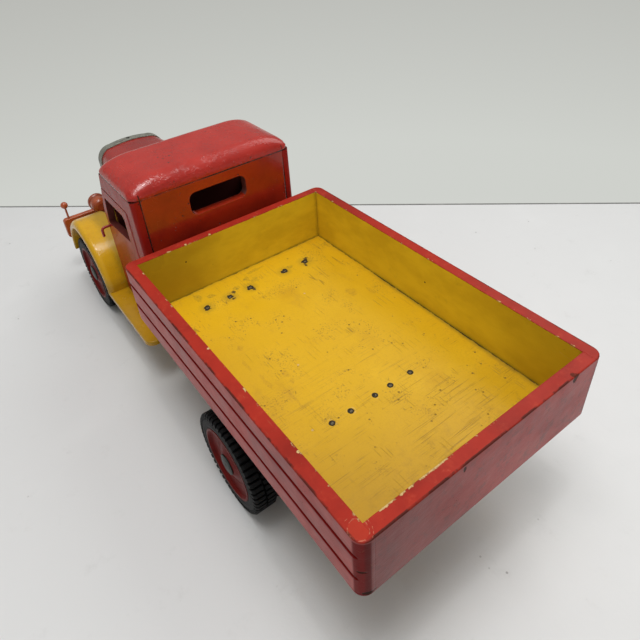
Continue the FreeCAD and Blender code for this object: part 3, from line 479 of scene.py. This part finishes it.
def floor_grime_and_shade(p, x, y, tone):
    """Grime along the walls, and painted shade over the rear half, deepest at the left, and along the left
    side, laid over the floor's tone.
    """
    wall = p.least(p.minus(0.1086, p.size(y)), p.plus(x, 0.3266), p.minus(0.0136, x))
    wall = p.plus(wall, p.sway(0.010, 0.0022), p.sway(0.002, 0.0007))
    lee = p.plus(0.35, p.times(p.step(y, -0.060, -0.090), p.step(x, -0.060, -0.130), 0.65))
    tone = p.mix(p.times(p.step(wall, 0.0060, 0.0), lee, 0.70), tone, OLIVE)
    tone = p.mix(p.times(p.step(wall, 0.0012, 0.0003), p.plus(lee, 0.35)), tone, DIRT)
    rear_grime = p.times(p.step(x, -0.245, -0.310), p.patches(0.014, 0.55, 0.25, 6.0, 0.75))
    tone = p.mix(p.times(rear_grime, 0.58), tone, (0.26, 0.15, 0.020))
    # Painted shade towards the rear of the floor, deepest at its left.
    towards_rear = p.step(p.plus(x, p.sway(0.05, 0.03)), -0.170, -0.330)
    shaded = p.times(towards_rear, p.step(y, -0.090, 0.110, 0.35, 1.0))
    tone = p.mix(p.times(shaded, 0.78), tone, (0.34, 0.19, 0.008))
    # Painted shade along the floor's left side.
    floor_left_shade = p.times(p.step(p.plus(y, p.sway(0.05, 0.02)), 0.030, 0.105), p.step(x, -0.030, -0.110))
    return p.mix(p.times(floor_left_shade, 0.32), tone, (0.40, 0.235, 0.010))


def screw_stains(p, tone):
    """Splintered black stains at the front screws and clean dark rings at the rear ones, over the tone."""
    front = p.nearest(on_floor(FRONT_SCREWS))
    extra = p.nearest(on_floor(FRONT_STAINS))
    splinter = p.plus(p.sway(0.0050, 0.0050, 5.0), p.sway(0.0012, 0.0012))
    stain = p.either(
        p.step(p.plus(front, splinter), 0.0040, 0.0032),
        p.times(p.step(p.plus(extra, splinter), 0.0026, 0.0018), 0.85),
    )
    halo = p.times(p.step(p.plus(front, p.sway(0.008, 0.003)), 0.0120, 0.0035), 0.38)
    rear = p.nearest(on_floor(REAR_SCREWS))
    rear_dark = p.step(p.plus(rear, p.sway(0.002, 0.0007)), 0.0031, 0.0026)
    ring = p.times(p.line(rear, 0.0038, 0.0007), p.patches(0.004, 0.42))
    tone = p.mix(halo, tone, OLIVE)
    tone = p.mix(p.times(ring, 0.5), tone, CREAM)
    return p.mix(p.either(stain, rear_dark), tone, DIRT), stain, rear_dark


def floor_paint():
    """The bed floor: brushed yellow with long use, dark round its screws and scored across the grain."""
    p = Paintbox("floor_paint")
    x, y, _ = p.axes()
    grain = p.noise(0.0018, 4.0, 0.65, stretch=(22, 1, 1))
    tone = floor_ground(p, grain)
    hatch = floor_hatch(p, x)
    along = p.noise(0.0009, 2.0, 0.5, stretch=(45, 1, 1), turn=(0.0, 0.0, 0.06))
    along = p.times(p.step(along, 0.64, 0.72), p.patches(0.040, 0.42, 0.15, 4.0))
    tone = p.mix(p.times(hatch, 0.58), tone, (0.20, 0.12, 0.02))
    tone = p.mix(p.times(along, 0.36), tone, (0.24, 0.14, 0.02))
    cuts = p.either(
        p.scratches(0.010, 0.008, (0.0, 0.0, 0.5), 0.30),
        p.scratches(0.008, 0.008, (0.0, 0.0, -0.9), 0.26),
        p.scratches(0.007, 0.010, (0.0, 0.0, 1.45), 0.34),
    )
    tone = p.mix(p.times(cuts, 0.5), tone, (0.15, 0.09, 0.02))
    scuffed = p.times(p.patches(0.0016, 0.38, 0.06, 3.0, 0.6), p.patches(0.030, 0.46, 0.10, 4.0))
    tone = p.mix(p.times(scuffed, 0.5), tone, (0.22, 0.13, 0.02))
    pits = p.either(specks(p, 0.0035, 0.42), specks(p, 0.008, 0.50))
    tone = p.mix(p.times(pits, 0.8), tone, (0.10, 0.06, 0.015))
    nicks = p.step(p.nearest(on_floor(FLOOR_NICKS)), 0.0013, 0.0007)
    tone = floor_grime_and_shade(p, x, y, p.mix(nicks, tone, CREAM))
    tone, stain, rear_dark = screw_stains(p, tone)

    rough = p.step(p.noise(0.03, 5.0, 0.6), 0.35, 0.75, 0.36, 0.50)
    rough = p.either(rough, p.times(stain, 0.8), p.times(pits, 0.7))
    dents = p.either(stain, p.times(rear_dark, 0.8), pits, p.times(cuts, 0.5), p.times(hatch, 0.25), nicks)
    p.bump([(p.noise(0.03, 2.0), 0.0005), (grain, 0.00010), (p.minus(1.0, dents), 0.00030)])
    return p.finish(tone, rough, 0.0, specular=0.3)


def floor_screws():
    """Slotted screw heads, black with old paint at the rim and rubbed to grey in the middle."""
    p = Paintbox("floor_screws")
    centre = p.nearest(on_floor(FRONT_SCREWS + REAR_SCREWS))
    rubbed = p.times(p.step(p.plus(centre, p.sway(0.0012, 0.0005)), 0.0017, 0.0010), p.patches(0.004, 0.75))
    tone = p.mix(p.times(rubbed, 0.8), DIRT, (0.20, 0.17, 0.11))
    p.bump([(p.noise(0.0008, 3.0), 0.0002)], 0.0003)
    return p.finish(tone, p.step(rubbed, 0.0, 1.0, 0.75, 0.40), specular=0.3)


CAB_MIDDLE = (0.095, 0.0, 0.170)


def cab_paint(name, lit, dark, rust=0.0, bubbles=0.0, shine=0.4, wear=0.34):
    """Worn red cab paint, with painted shade on the faces inside the cab, and dark joints under the roof and
    beside the back panel.
    """
    p = Paintbox(name)
    x, y, z = p.axes()
    cloud = p.noise(0.05, 5.0, 0.6)
    tone = p.mix(p.step(cloud, 0.35, 0.75), lit, dark)
    run = p.noise(0.012, 5.0, 0.7, stretch=(1, 1, 5))
    tone = p.mix(p.times(p.step(run, 0.45, 0.75), rust), tone, (0.37, 0.028, 0.007))
    tone = p.mix(p.times(p.patches(0.016, 0.35, 0.15, 6.0, 0.75), 0.3), tone, dark)
    lines = p.either(
        p.scratches(0.008, 0.010, (0.0, 0.3, 0.4), 0.25), p.scratches(0.006, 0.010, (0.9, 0.5, -0.7), 0.22)
    )
    tone = p.mix(p.times(lines, 0.30), tone, RED_BRIGHT)
    spots = p.either(specks(p, 0.0040, 0.42), specks(p, 0.0085, 0.45))
    tone = p.mix(p.times(spots, 0.85), tone, DIRT)
    chipped = worn_edges(p, wear, 0.0014)
    tone = p.mix(chipped, tone, p.mix(p.patches(0.004, 0.30), (0.09, 0.018, 0.012), BARE_WOOD))
    under_roof = p.times(p.line(p.plus(z, p.sway(0.01, 0.0002)), 0.2320, 0.0010), p.patches(0.04, 0.85, 0.2))
    beside = p.times(
        p.line(p.size(y), 0.0835, 0.0010), p.step(x, 0.0385, 0.0378), p.patches(0.03, 0.85, 0.2)
    )
    smoky = p.times(
        p.line(p.size(y), 0.0835, 0.0045), p.step(x, 0.0385, 0.0378), p.patches(0.012, 0.5, 0.2), 0.4
    )
    tone = p.mix(p.either(under_roof, beside, smoky), tone, (0.016, 0.006, 0.004))
    # Painted shade: faces turned into the cab get a dark red.
    painted_inner_shade = p.inward(CAB_MIDDLE)
    tone = p.mix(painted_inner_shade, tone, (0.14, 0.032, 0.026))
    rough = p.step(p.noise(0.02, 5.0, 0.6), 0.35, 0.75, 0.17, 0.28)
    rough = p.either(
        rough, p.times(chipped, 0.7), p.times(spots, 0.6), p.times(lines, 0.38), p.times(painted_inner_shade, 0.75)
    )
    blister = p.times(p.cells(0.0035, "SMOOTH_F1"), p.patches(0.014, 0.60, 0.10), bubbles)
    p.bump(
        [
            (p.noise(0.022, 2.0), 0.00055),
            (p.noise(0.0045, 3.0), 0.00008),
            (blister, 0.00050),
            (p.minus(1.0, p.either(spots, chipped, under_roof, beside)), 0.00030),
        ],
        0.0010,
    )
    return p.finish(tone, rough, 0.5 * shine, specular=shine)


def aged_paint(name, colour, deep, under=CREAM, gloss=0.30, wear=0.4, coat=0.3, grime=0.3):
    """Brushed oil paint on wood or tin: uneven tone, specks, scratches, grime, and wear at the edges."""
    p = Paintbox(name)
    tone = p.mix(p.step(p.noise(0.035, 5.0, 0.6), 0.35, 0.75), colour, deep)
    tone = p.mix(p.times(p.patches(0.010, 0.40, 0.20, 6.0, 0.75), grime), tone, p.mix(0.5, deep, DIRT))
    lines = p.either(
        p.scratches(0.006, 0.012, (0.0, 0.2, 0.5), 0.30), p.scratches(0.005, 0.012, (0.9, 0.4, -0.8), 0.26)
    )
    tone = p.mix(p.times(lines, 0.35), tone, under)
    spots = specks(p, 0.004, 0.45)
    tone = p.mix(p.times(spots, 0.8), tone, DIRT)
    chipped = worn_edges(p, wear)
    tone = p.mix(chipped, tone, p.mix(p.patches(0.004, 0.4), under, BARE_WOOD))
    rough = p.step(p.noise(0.02, 5.0, 0.6), 0.35, 0.75, gloss, gloss + 0.14)
    rough = p.either(rough, p.times(chipped, 0.75), p.times(spots, 0.7))
    p.bump(
        [
            (p.noise(0.014, 2.0), 0.00040),
            (p.noise(0.0016, 3.0, 0.6), 0.00007),
            (p.minus(1.0, p.either(chipped, spots)), 0.00025),
        ],
        0.0007,
    )
    return p.finish(tone, rough, coat)


def fender_paint():
    """Yellow fenders and step board, rubbed to cream at the outer edge and grimy beside the cab, with
    painted shade over the step board and low on the fenders' outer sides.
    """
    p = Paintbox("fender_paint")
    x, y, z = p.axes()
    across = p.size(y)
    tone = p.mix(p.patches(0.030, 0.45, 0.25, 5.0, 0.6), (0.66, 0.36, 0.010), (0.54, 0.26, 0.007))
    tone = p.mix(p.times(p.patches(0.009, 0.42, 0.20, 6.0, 0.75), 0.35), tone, (0.40, 0.22, 0.020))
    joint = p.either(
        p.step(p.plus(across, p.sway(0.010, 0.006)), 0.1000, 0.0880),
        p.times(p.line(p.plus(x, p.sway(0.008, 0.004)), 0.1670, 0.0120), p.step(z, 0.080, 0.066)),
    )
    tone = p.mix(p.times(joint, 0.55), tone, OLIVE)
    # Painted shade over the step board and everything as low as it.
    tone = p.mix(p.times(p.step(z, 0.072, 0.066), 0.45), tone, (0.30, 0.15, 0.005))
    # Painted shade low on the fenders' outer sides.
    tone = p.mix(
        p.times(p.step(across, 0.1120, 0.1165), p.step(z, 0.150, 0.100), 0.25), tone, (0.36, 0.20, 0.008)
    )
    lines = p.either(
        p.scratches(0.006, 0.012, (0.0, 0.2, 0.5), 0.36), p.scratches(0.005, 0.012, (0.9, 0.4, -0.8), 0.30)
    )
    tone = p.mix(p.times(lines, 0.5), tone, (0.34, 0.20, 0.04))
    spots = specks(p, 0.0045, 0.45)
    tone = p.mix(p.times(spots, 0.8), tone, DIRT)
    outer = p.times(p.edges(0.0022), p.step(across, 0.1140, 0.1158), p.patches(0.016, 0.72, 0.10))
    tone = p.mix(outer, tone, p.mix(p.patches(0.003, 0.45), CREAM, (0.46, 0.34, 0.16)))
    chipped = worn_edges(p, 0.35)
    tone = p.mix(chipped, tone, BARE_WOOD)
    rough = p.step(p.noise(0.02, 5.0, 0.6), 0.35, 0.75, 0.16, 0.30)
    rough = p.either(rough, p.times(outer, 0.6), p.times(spots, 0.7), p.times(joint, 0.5))
    p.bump(
        [
            (p.noise(0.020, 2.0), 0.0007),
            (p.noise(0.006, 3.0), 0.00015),
            (p.minus(1.0, p.either(spots, chipped)), 0.0003),
        ],
        0.0009,
    )
    return p.finish(tone, rough, 0.16, specular=0.25)


def rubber():
    """Dusty black rubber, paler where the tread scuffs."""
    p = Paintbox("rubber")
    dust = p.times(p.patches(0.010, 0.40, 0.25, 6.0, 0.7), 0.6)
    scuffed = p.times(p.edges(0.0012, 0.02, 0.4), p.patches(0.006, 0.50, 0.15))
    tone = p.mix(dust, RUBBER, (0.012, 0.012, 0.011))
    tone = p.mix(p.times(scuffed, 0.55), tone, DUST)
    p.bump([(p.noise(0.0012, 4.0), 0.00015), (p.noise(0.006, 3.0), 0.00025)], 0.0007)
    return p.finish(tone, p.step(dust, 0.0, 0.5, 0.50, 0.80), specular=0.08)


def wheel_paint():
    """Dull red wheels, browned in patches and worn at the rim."""
    p = Paintbox("wheel_paint")
    tone = p.mix(p.patches(0.018, 0.45, 0.20, 5.0, 0.65), (0.15, 0.011, 0.009), (0.085, 0.007, 0.007))
    tone = p.mix(p.times(p.patches(0.006, 0.36, 0.12, 6.0, 0.75), 0.5), tone, (0.060, 0.018, 0.012))
    chipped = worn_edges(p, 0.50, 0.0014)
    tone = p.mix(chipped, tone, (0.10, 0.06, 0.04))
    spots = specks(p, 0.0035, 0.45)
    tone = p.mix(p.times(spots, 0.8), tone, DIRT)
    rough = p.step(p.noise(0.012, 5.0, 0.6), 0.35, 0.75, 0.30, 0.48)
    p.bump([(p.noise(0.008, 3.0), 0.0004), (p.minus(1.0, p.either(chipped, spots)), 0.0002)], 0.0007)
    return p.finish(tone, rough, 0.0, specular=0.06)


def steel(name, colour, roughness, metallic=0.85):
    """Metal with a fine grainy bump, paler worn edges and dull stains."""
    p = Paintbox(name)
    stain = p.patches(0.004, 0.45, 0.15, 5.0, 0.7)
    tone = p.mix(stain, colour, tuple(c * 0.35 for c in colour))
    worn = p.edges(0.0008, 0.05, 0.4)
    tone = p.mix(p.times(worn, 0.5), tone, tuple(min(1.0, c * 2.5) for c in colour))
    p.bump([(p.noise(0.0006, 3.0, 0.6), 0.00008), (p.noise(0.003, 3.0), 0.0002)], 0.0005)
    return p.finish(tone, p.step(stain, 0.0, 1.0, roughness, roughness + 0.3), metallic=metallic)


def worn_grey(name, colour, dark):
    """Grey paint rubbed to a dull sheen, with lengthways streaks and brown stains."""
    p = Paintbox(name)
    streak = p.noise(0.0016, 4.0, 0.7, stretch=(1, 7, 1))
    tone = p.mix(p.step(streak, 0.35, 0.7), colour, tuple(c * 1.7 for c in colour))
    tone = p.mix(p.times(p.patches(0.010, 0.50, 0.15, 6.0, 0.75), 0.8), tone, dark)
    chipped = worn_edges(p, 0.55)
    tone = p.mix(chipped, tone, tuple(min(1.0, c * 2.6) for c in colour))
    spots = specks(p, 0.004, 0.5)
    tone = p.mix(p.times(spots, 0.8), tone, DIRT)
    p.bump([(streak, 0.00015), (p.noise(0.012, 3.0), 0.0004), (p.minus(1.0, spots), 0.0002)], 0.0008)
    return p.finish(tone, p.step(streak, 0.3, 0.7, 0.30, 0.5), 0.15)


def plain_wood(name, colour, dark):
    """Wood with a thin wash of old paint, its grain running lengthways."""
    p = Paintbox(name)
    grain = p.noise(0.0014, 5.0, 0.7, stretch=(25, 3, 1))
    tone = p.mix(p.step(grain, 0.35, 0.7), colour, dark)
    tone = p.mix(p.times(p.patches(0.020, 0.45, 0.25), 0.5), tone, DIRT)
    chipped = worn_edges(p, 0.45)
    tone = p.mix(chipped, tone, BARE_WOOD)
    p.bump([(grain, 0.00025), (p.noise(0.010, 3.0), 0.0004)], 0.0008)
    return p.finish(tone, p.step(grain, 0.3, 0.7, 0.55, 0.75), 0.0)


# ---------------------------------------------------------------- dressing the CAD nodes
def dress(material, *names):
    """Gives CAD nodes a material."""
    for name in names:
        node = NODES[name]
        node.data.materials.clear()
        node.data.materials.append(material)


def dress_truck():
    """Every CAD node's material."""
    body_red = cab_paint("cab_red", (0.34, 0.018, 0.011), RED_DEEP, 0.1, shine=0.05)
    trim = aged_paint("orange_trim", TRIM_ORANGE, (0.26, 0.045, 0.015), RED_DEEP, 0.25, 0.45, 0.4)
    dress(bed_paint(), "bed_side_left", "bed_side_right", "bed_headboard", "bed_tailboard")
    dress(floor_paint(), "bed_floor")
    dress(fender_paint(), "fender_left", "fender_right", "running_board")
    dress(cab_paint("back_red", RUST_RED, (0.25, 0.014, 0.007), 0.5), "cab_back")
    dress(cab_paint("roof_red", (0.44, 0.025, 0.016), (0.34, 0.016, 0.010), 0.0, 1.0, wear=0.12), "cab_roof")
    dress(cab_paint("hood_red", (0.34, 0.020, 0.013), (0.25, 0.012, 0.008), 0.0, 0.6, wear=0.12), "hood")
    dress(body_red, "cab_firewall", "windscreen_frame")
    dress(worn_grey("shell_grey", GREY_PAINT, (0.05, 0.045, 0.035)), "radiator_shell")
    dress(worn_grey("grille_dark", (0.05, 0.05, 0.045), (0.02, 0.02, 0.016)), "radiator_core")
    dress(floor_screws(), "bed_floor_screws")
    dress(steel("dark_screws", SCREW_BLACK, 0.40, 0.6), "bumper_screws", "radiator_screw")
    bare = steel("bare_steel", (0.5, 0.49, 0.47), 0.35)
    dress(bare, "front_axle", "rear_axle", "door_hinge_pin_left", "door_hinge_pin_right", "headlamp_posts")
    dress(steel("black_caps", (0.020, 0.026, 0.021), 0.45, 0.2), "front_axle_caps", "rear_axle_caps")
    wash = plain_wood("chassis_wood", (0.20, 0.030, 0.018), (0.09, 0.020, 0.012))
    dress(wash, "bed_bearer_front", "bed_bearer_rear", "chassis_rail_left", "chassis_rail_right")
    dress(wash, "front_axle_block", "rear_axle_block", "front_deck", "cab_floor")
    dress(trim, "bumper")
    wire = aged_paint("wire_red", (0.40, 0.030, 0.018), RED_DEEP, DIRT, 0.25, 0.4, 0.3)
    wheel = wheel_paint()
    tyre = rubber()
    for side in SIDES:
        dress(body_red, "cab_side_" + side, "door_" + side)
        dress(wire, "door_handle_" + side)
        dress(
            trim,
            "headlamp_body_" + side,
            "headlamp_rim_" + side,
            "marker_stalk_" + side,
            "marker_ball_" + side,
        )
        dress(wheel, "front_wheel_" + side, "rear_wheel_" + side)
        dress(tyre, "front_tyre_" + side, "rear_outer_tyre_" + side, "rear_inner_tyre_" + side)


# ---------------------------------------------------------------- new meshes
def solid_of(name, points, faces, material):
    """An object made from points and faces, with one material."""
    mesh = bpy.data.meshes.new(name)
    mesh.from_pydata([tuple(point) for point in points], [], faces)
    mesh.materials.append(material)
    made = bpy.data.objects.new(name, mesh)
    bpy.context.scene.collection.objects.link(made)
    return made


# ---------------------------------------------------------------- finer pieces over their CAD nodes
def grid_steps(start, end, margin, fine, coarse):
    """Places from start to end, close together within a margin of each end."""
    made = [start + margin * i / fine for i in range(fine)]
    made += [start + margin + (end - start - 2 * margin) * i / coarse for i in range(coarse)]
    made += [end - margin + margin * i / fine for i in range(fine + 1)]
    return made


def rolled(distance, radius):
    """Height share of an edge rolled over with a radius, a distance in from that edge."""
    short = 1.0 - min(max(distance, 0.0), radius) / radius
    return math.sqrt(max(0.0, 1.0 - short * short))


def corner_pull(a, b):
    """Moves a point of a unit square's quarter onto the quarter disc inside it."""
    return a * math.sqrt(1.0 - b * b / 2.0), b * math.sqrt(1.0 - a * a / 2.0)


def rounded_corner(x, y, box, corner):
    """Pulls a point of the roof into its rounded corner, and says how far in it lies each way."""
    (x0, y0), (x1, y1) = box
    a = max(x0 + corner - x, x - (x1 - corner), 0.0) / corner
    b = max(y0 + corner - y, y - (y1 - corner), 0.0) / corner
    slack = 0.0
    in_corner = a > 0 and b > 0
    if in_corner:
        a, b = corner_pull(a, b)
        x = x0 + corner - a * corner if x < (x0 + x1) / 2 else x1 - corner + a * corner
        y = y0 + corner - b * corner if y < (y0 + y1) / 2 else y1 - corner + b * corner
        slack = corner * (1.0 - math.hypot(a, b))
    inset = min(x - x0, x1 - x)
    if in_corner:
        inset = min(inset, slack + inset * 0.35)
    return x, y, inset, min(y - y0, y1 - y)


def roof_surface(xs, ys, box, corner, foot, lip, top):
    """The points of the roof's upper surface, rolled over at its ends and further over at its sides."""
    end_roll = 17 * MM
    side_roll = 36 * MM
    waviness = 0.25 * MM
    points = []
    for x in xs:
        for y in ys:
            px, py, inset, inset_y = rounded_corner(x, y, box, corner)
            height = rolled(inset, end_roll) * rolled(inset_y, side_roll)
            uneven = mathnoise.noise(Vector((px, py, 0.0)) * 28.0) * waviness
            crown = (top - foot - lip - waviness) * height
            points.append((px, py, foot + lip + crown + uneven * min(1.0, height)))
    return points


def grid_faces(rows, cols):
    """The faces of a grid of points, and the points round its edge in order."""
    faces = []
    for i in range(rows - 1):
        for j in range(cols - 1):
            a = i * cols + j
            faces.append((a, a + cols, a + cols + 1, a + 1))
    rim = [i * cols for i in range(rows)]
    rim += [(rows - 1) * cols + j for j in range(1, cols)]
    rim += [i * cols + cols - 1 for i in range(rows - 2, -1, -1)]
    rim += list(range(cols - 2, 0, -1))
    return faces, rim


def smooth_roof():
    """The roof board as one smooth pillow, its hand-sanded top slightly uneven."""
    (x0, y0, z0), (x1, y1, z1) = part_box("cab_roof")
    corner = 9 * MM
    xs = grid_steps(x0, x1, corner, 10, 40)
    ys = grid_steps(y0, y1, corner, 10, 70)
    points = roof_surface(xs, ys, ((x0, y0), (x1, y1)), corner, z0, 2 * MM, z1)
    faces, rim = grid_faces(len(xs), len(ys))
    foot = len(points)
    for index in rim:
        points.append((points[index][0], points[index][1], z0))
    count = len(rim)
    for k in range(count):
        after = (k + 1) % count
        faces.append((rim[k], foot + k, foot + after, rim[after]))
    faces.append(tuple(foot + k for k in range(count - 1, -1, -1)))
    made = solid_of("roof_pillow", points, faces, bpy.data.materials["roof_red"])
    made.data.validate()
    for polygon in made.data.polygons:
        polygon.use_smooth = True
    made.data.set_sharp_from_angle(angle=math.radians(50))
    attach(made, TRUCK)
    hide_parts("cab_roof")


# ---------------------------------------------------------------- stage, light and camera
CAMERA_PLACE = Vector((-0.4687, 0.2234, 0.4978))
CAMERA_TURN = (53.865, 3.289, -126.846)
TABLE_FAR = (Vector((0.6391, 0.1672, 0.0)), Vector((-0.1089, -0.6669, 0.0)))


def table_top():
    """A pale table that ends just past the truck's front."""
    p = Paintbox("table")
    tone = p.mix(p.patches(0.15, 0.5, 0.3, 4.0, 0.5), (0.70, 0.70, 0.695), (0.735, 0.735, 0.73))
    tone = p.mix(p.times(p.patches(0.030, 0.35, 0.2, 6.0, 0.7), 0.25), tone, (0.52, 0.515, 0.50))
    tone = p.mix(p.times(specks(p, 0.009, 0.22), 0.6), tone, (0.16, 0.15, 0.14))
    p.bump([(p.noise(0.003, 4.0), 0.00008), (p.noise(0.05, 3.0), 0.0003)])
    material = p.finish(tone, p.step(p.noise(0.03), 0.3, 0.7, 0.36, 0.46))
    near_side = (TABLE_FAR[0] - TABLE_FAR[1]).normalized().cross(Vector((0.0, 0.0, 1.0)))
    if near_side.dot(CAMERA_PLACE - TABLE_FAR[0]) < 0:
        near_side.negate()
    along = TABLE_FAR[1] - TABLE_FAR[0]
    left = TABLE_FAR[0] - along * 3.0
    right = TABLE_FAR[1] + along * 3.0
    depth = 5.0
    thick = 0.03
    top = [left, right, right + near_side * depth, left + near_side * depth]
    under = [v - Vector((0, 0, thick)) for v in top]
    faces = [(0, 3, 2, 1), (4, 5, 6, 7)]
    for i in range(4):
        j = (i + 1) % 4
        faces.append((i, j, j + 4, i + 4))
    made = solid_of("table_top", top + under, faces, material)
    rounding = made.modifiers.new("rounding", "BEVEL")
    rounding.width = 0.002
    rounding.segments = 3


def painted_gap_shadow():
    """A grey strip of painted shadow, standing for the shaded gap between the table's far edge and the wall.
    """
    p = Paintbox("gap_shadow_strip")
    # Painted shadow: the strip is coloured grey for the shade in the gap.
    material = p.finish(p.mix(p.patches(0.05, 0.5, 0.3), (0.34, 0.34, 0.33), (0.50, 0.50, 0.48)), 0.9)
    along = (TABLE_FAR[1] - TABLE_FAR[0]) * 2.0
    left = TABLE_FAR[0] - along
    right = TABLE_FAR[1] + along
    rise = Vector((0.0, 0.0, 0.0014))
    corners = (left - rise * 3, right - rise * 3, right + rise, left + rise)
    made = solid_of("gap_shadow_strip", corners, [(0, 1, 2, 3)], material)


def make_camera():
    """A phone camera held behind the truck's left rear corner, looking down and forward."""
    data = bpy.data.cameras.new("camera")
    data.lens = 32.24
    data.sensor_width = 36.0
    data.shift_y = -0.08125
    data.clip_start = 0.01
    made = bpy.data.objects.new("camera", data)
    made.location = CAMERA_PLACE
    made.rotation_euler = [math.radians(angle) for angle in CAMERA_TURN]
    bpy.context.scene.collection.objects.link(made)
    bpy.context.scene.camera = made


def area_light(name, place, aim, size, power, colour=(1, 1, 1)):
    """A soft square light that points at a place."""
    data = bpy.data.lights.new(name, "AREA")
    data.shape = "RECTANGLE"
    data.size, data.size_y = size
    data.energy = power
    data.color = colour
    made = bpy.data.objects.new(name, data)
    made.location = place
    made.rotation_mode = "QUATERNION"
    made.rotation_quaternion = (Vector(aim) - Vector(place)).to_track_quat("-Z", "Y")
    bpy.context.scene.collection.objects.link(made)


def room():
    """A pale room: soft light from above, and a grey-green wall beyond and below the table's edge."""
    world = bpy.data.worlds.new("room")
    world.use_nodes = True
    tree = world.node_tree
    place = tree.nodes.new("ShaderNodeTexCoord").outputs["Generated"]
    height = tree.nodes.new("ShaderNodeSeparateXYZ")
    tree.links.new(place, height.inputs[0])
    ramp = tree.nodes.new("ShaderNodeValToRGB")
    shift = tree.nodes.new("ShaderNodeMapRange")
    tree.links.new(height.outputs["Z"], shift.inputs["Value"])
    shift.inputs["From Min"].default_value = -1.0
    shift.inputs["From Max"].default_value = 1.0
    tree.links.new(shift.outputs["Result"], ramp.inputs["Fac"])
    stops = (
        (0.0, (0.65, 0.665, 0.63)),
        (0.30, (0.62, 0.635, 0.60)),
        (0.49, (0.43, 0.43, 0.405)),
        (0.54, (0.22, 0.22, 0.215)),
        (0.75, (0.32, 0.32, 0.315)),
        (1.0, (0.65, 0.66, 0.65)),
    )
    ramp.color_ramp.elements[0].position = 0.0
    ramp.color_ramp.elements[1].position = 1.0
    for place_on_ramp, _ in stops[1:-1]:
        ramp.color_ramp.elements.new(place_on_ramp)
    for element, (_, colour) in zip(ramp.color_ramp.elements, stops):
        element.color = (*colour, 1.0)
    tree.links.new(ramp.outputs["Color"], tree.nodes["Background"].inputs["Color"])
    bpy.context.scene.world = world


def make_light():
    """Soft daylight from above and the right, a lamp overhead, and a pale room all round."""
    room()
    area_light("window", (0.15, -1.5, 1.8), (0.0, 0.0, 0.1), (1.5, 1.3), 12.5, (1.0, 0.995, 0.98))
    area_light("ceiling", (-0.25, 0.18, 2.0), (0.0, 0.0, 0.0), (1.0, 0.8), 18.5)
    area_light("lamp", (-0.30, 0.05, 1.9), (0.0, 0.0, 0.1), (0.07, 0.07), 2.2)
    bpy.context.scene.view_settings.view_transform = "Standard"


dress_truck()
smooth_roof()
make_camera()
make_light()
table_top()
painted_gap_shadow()
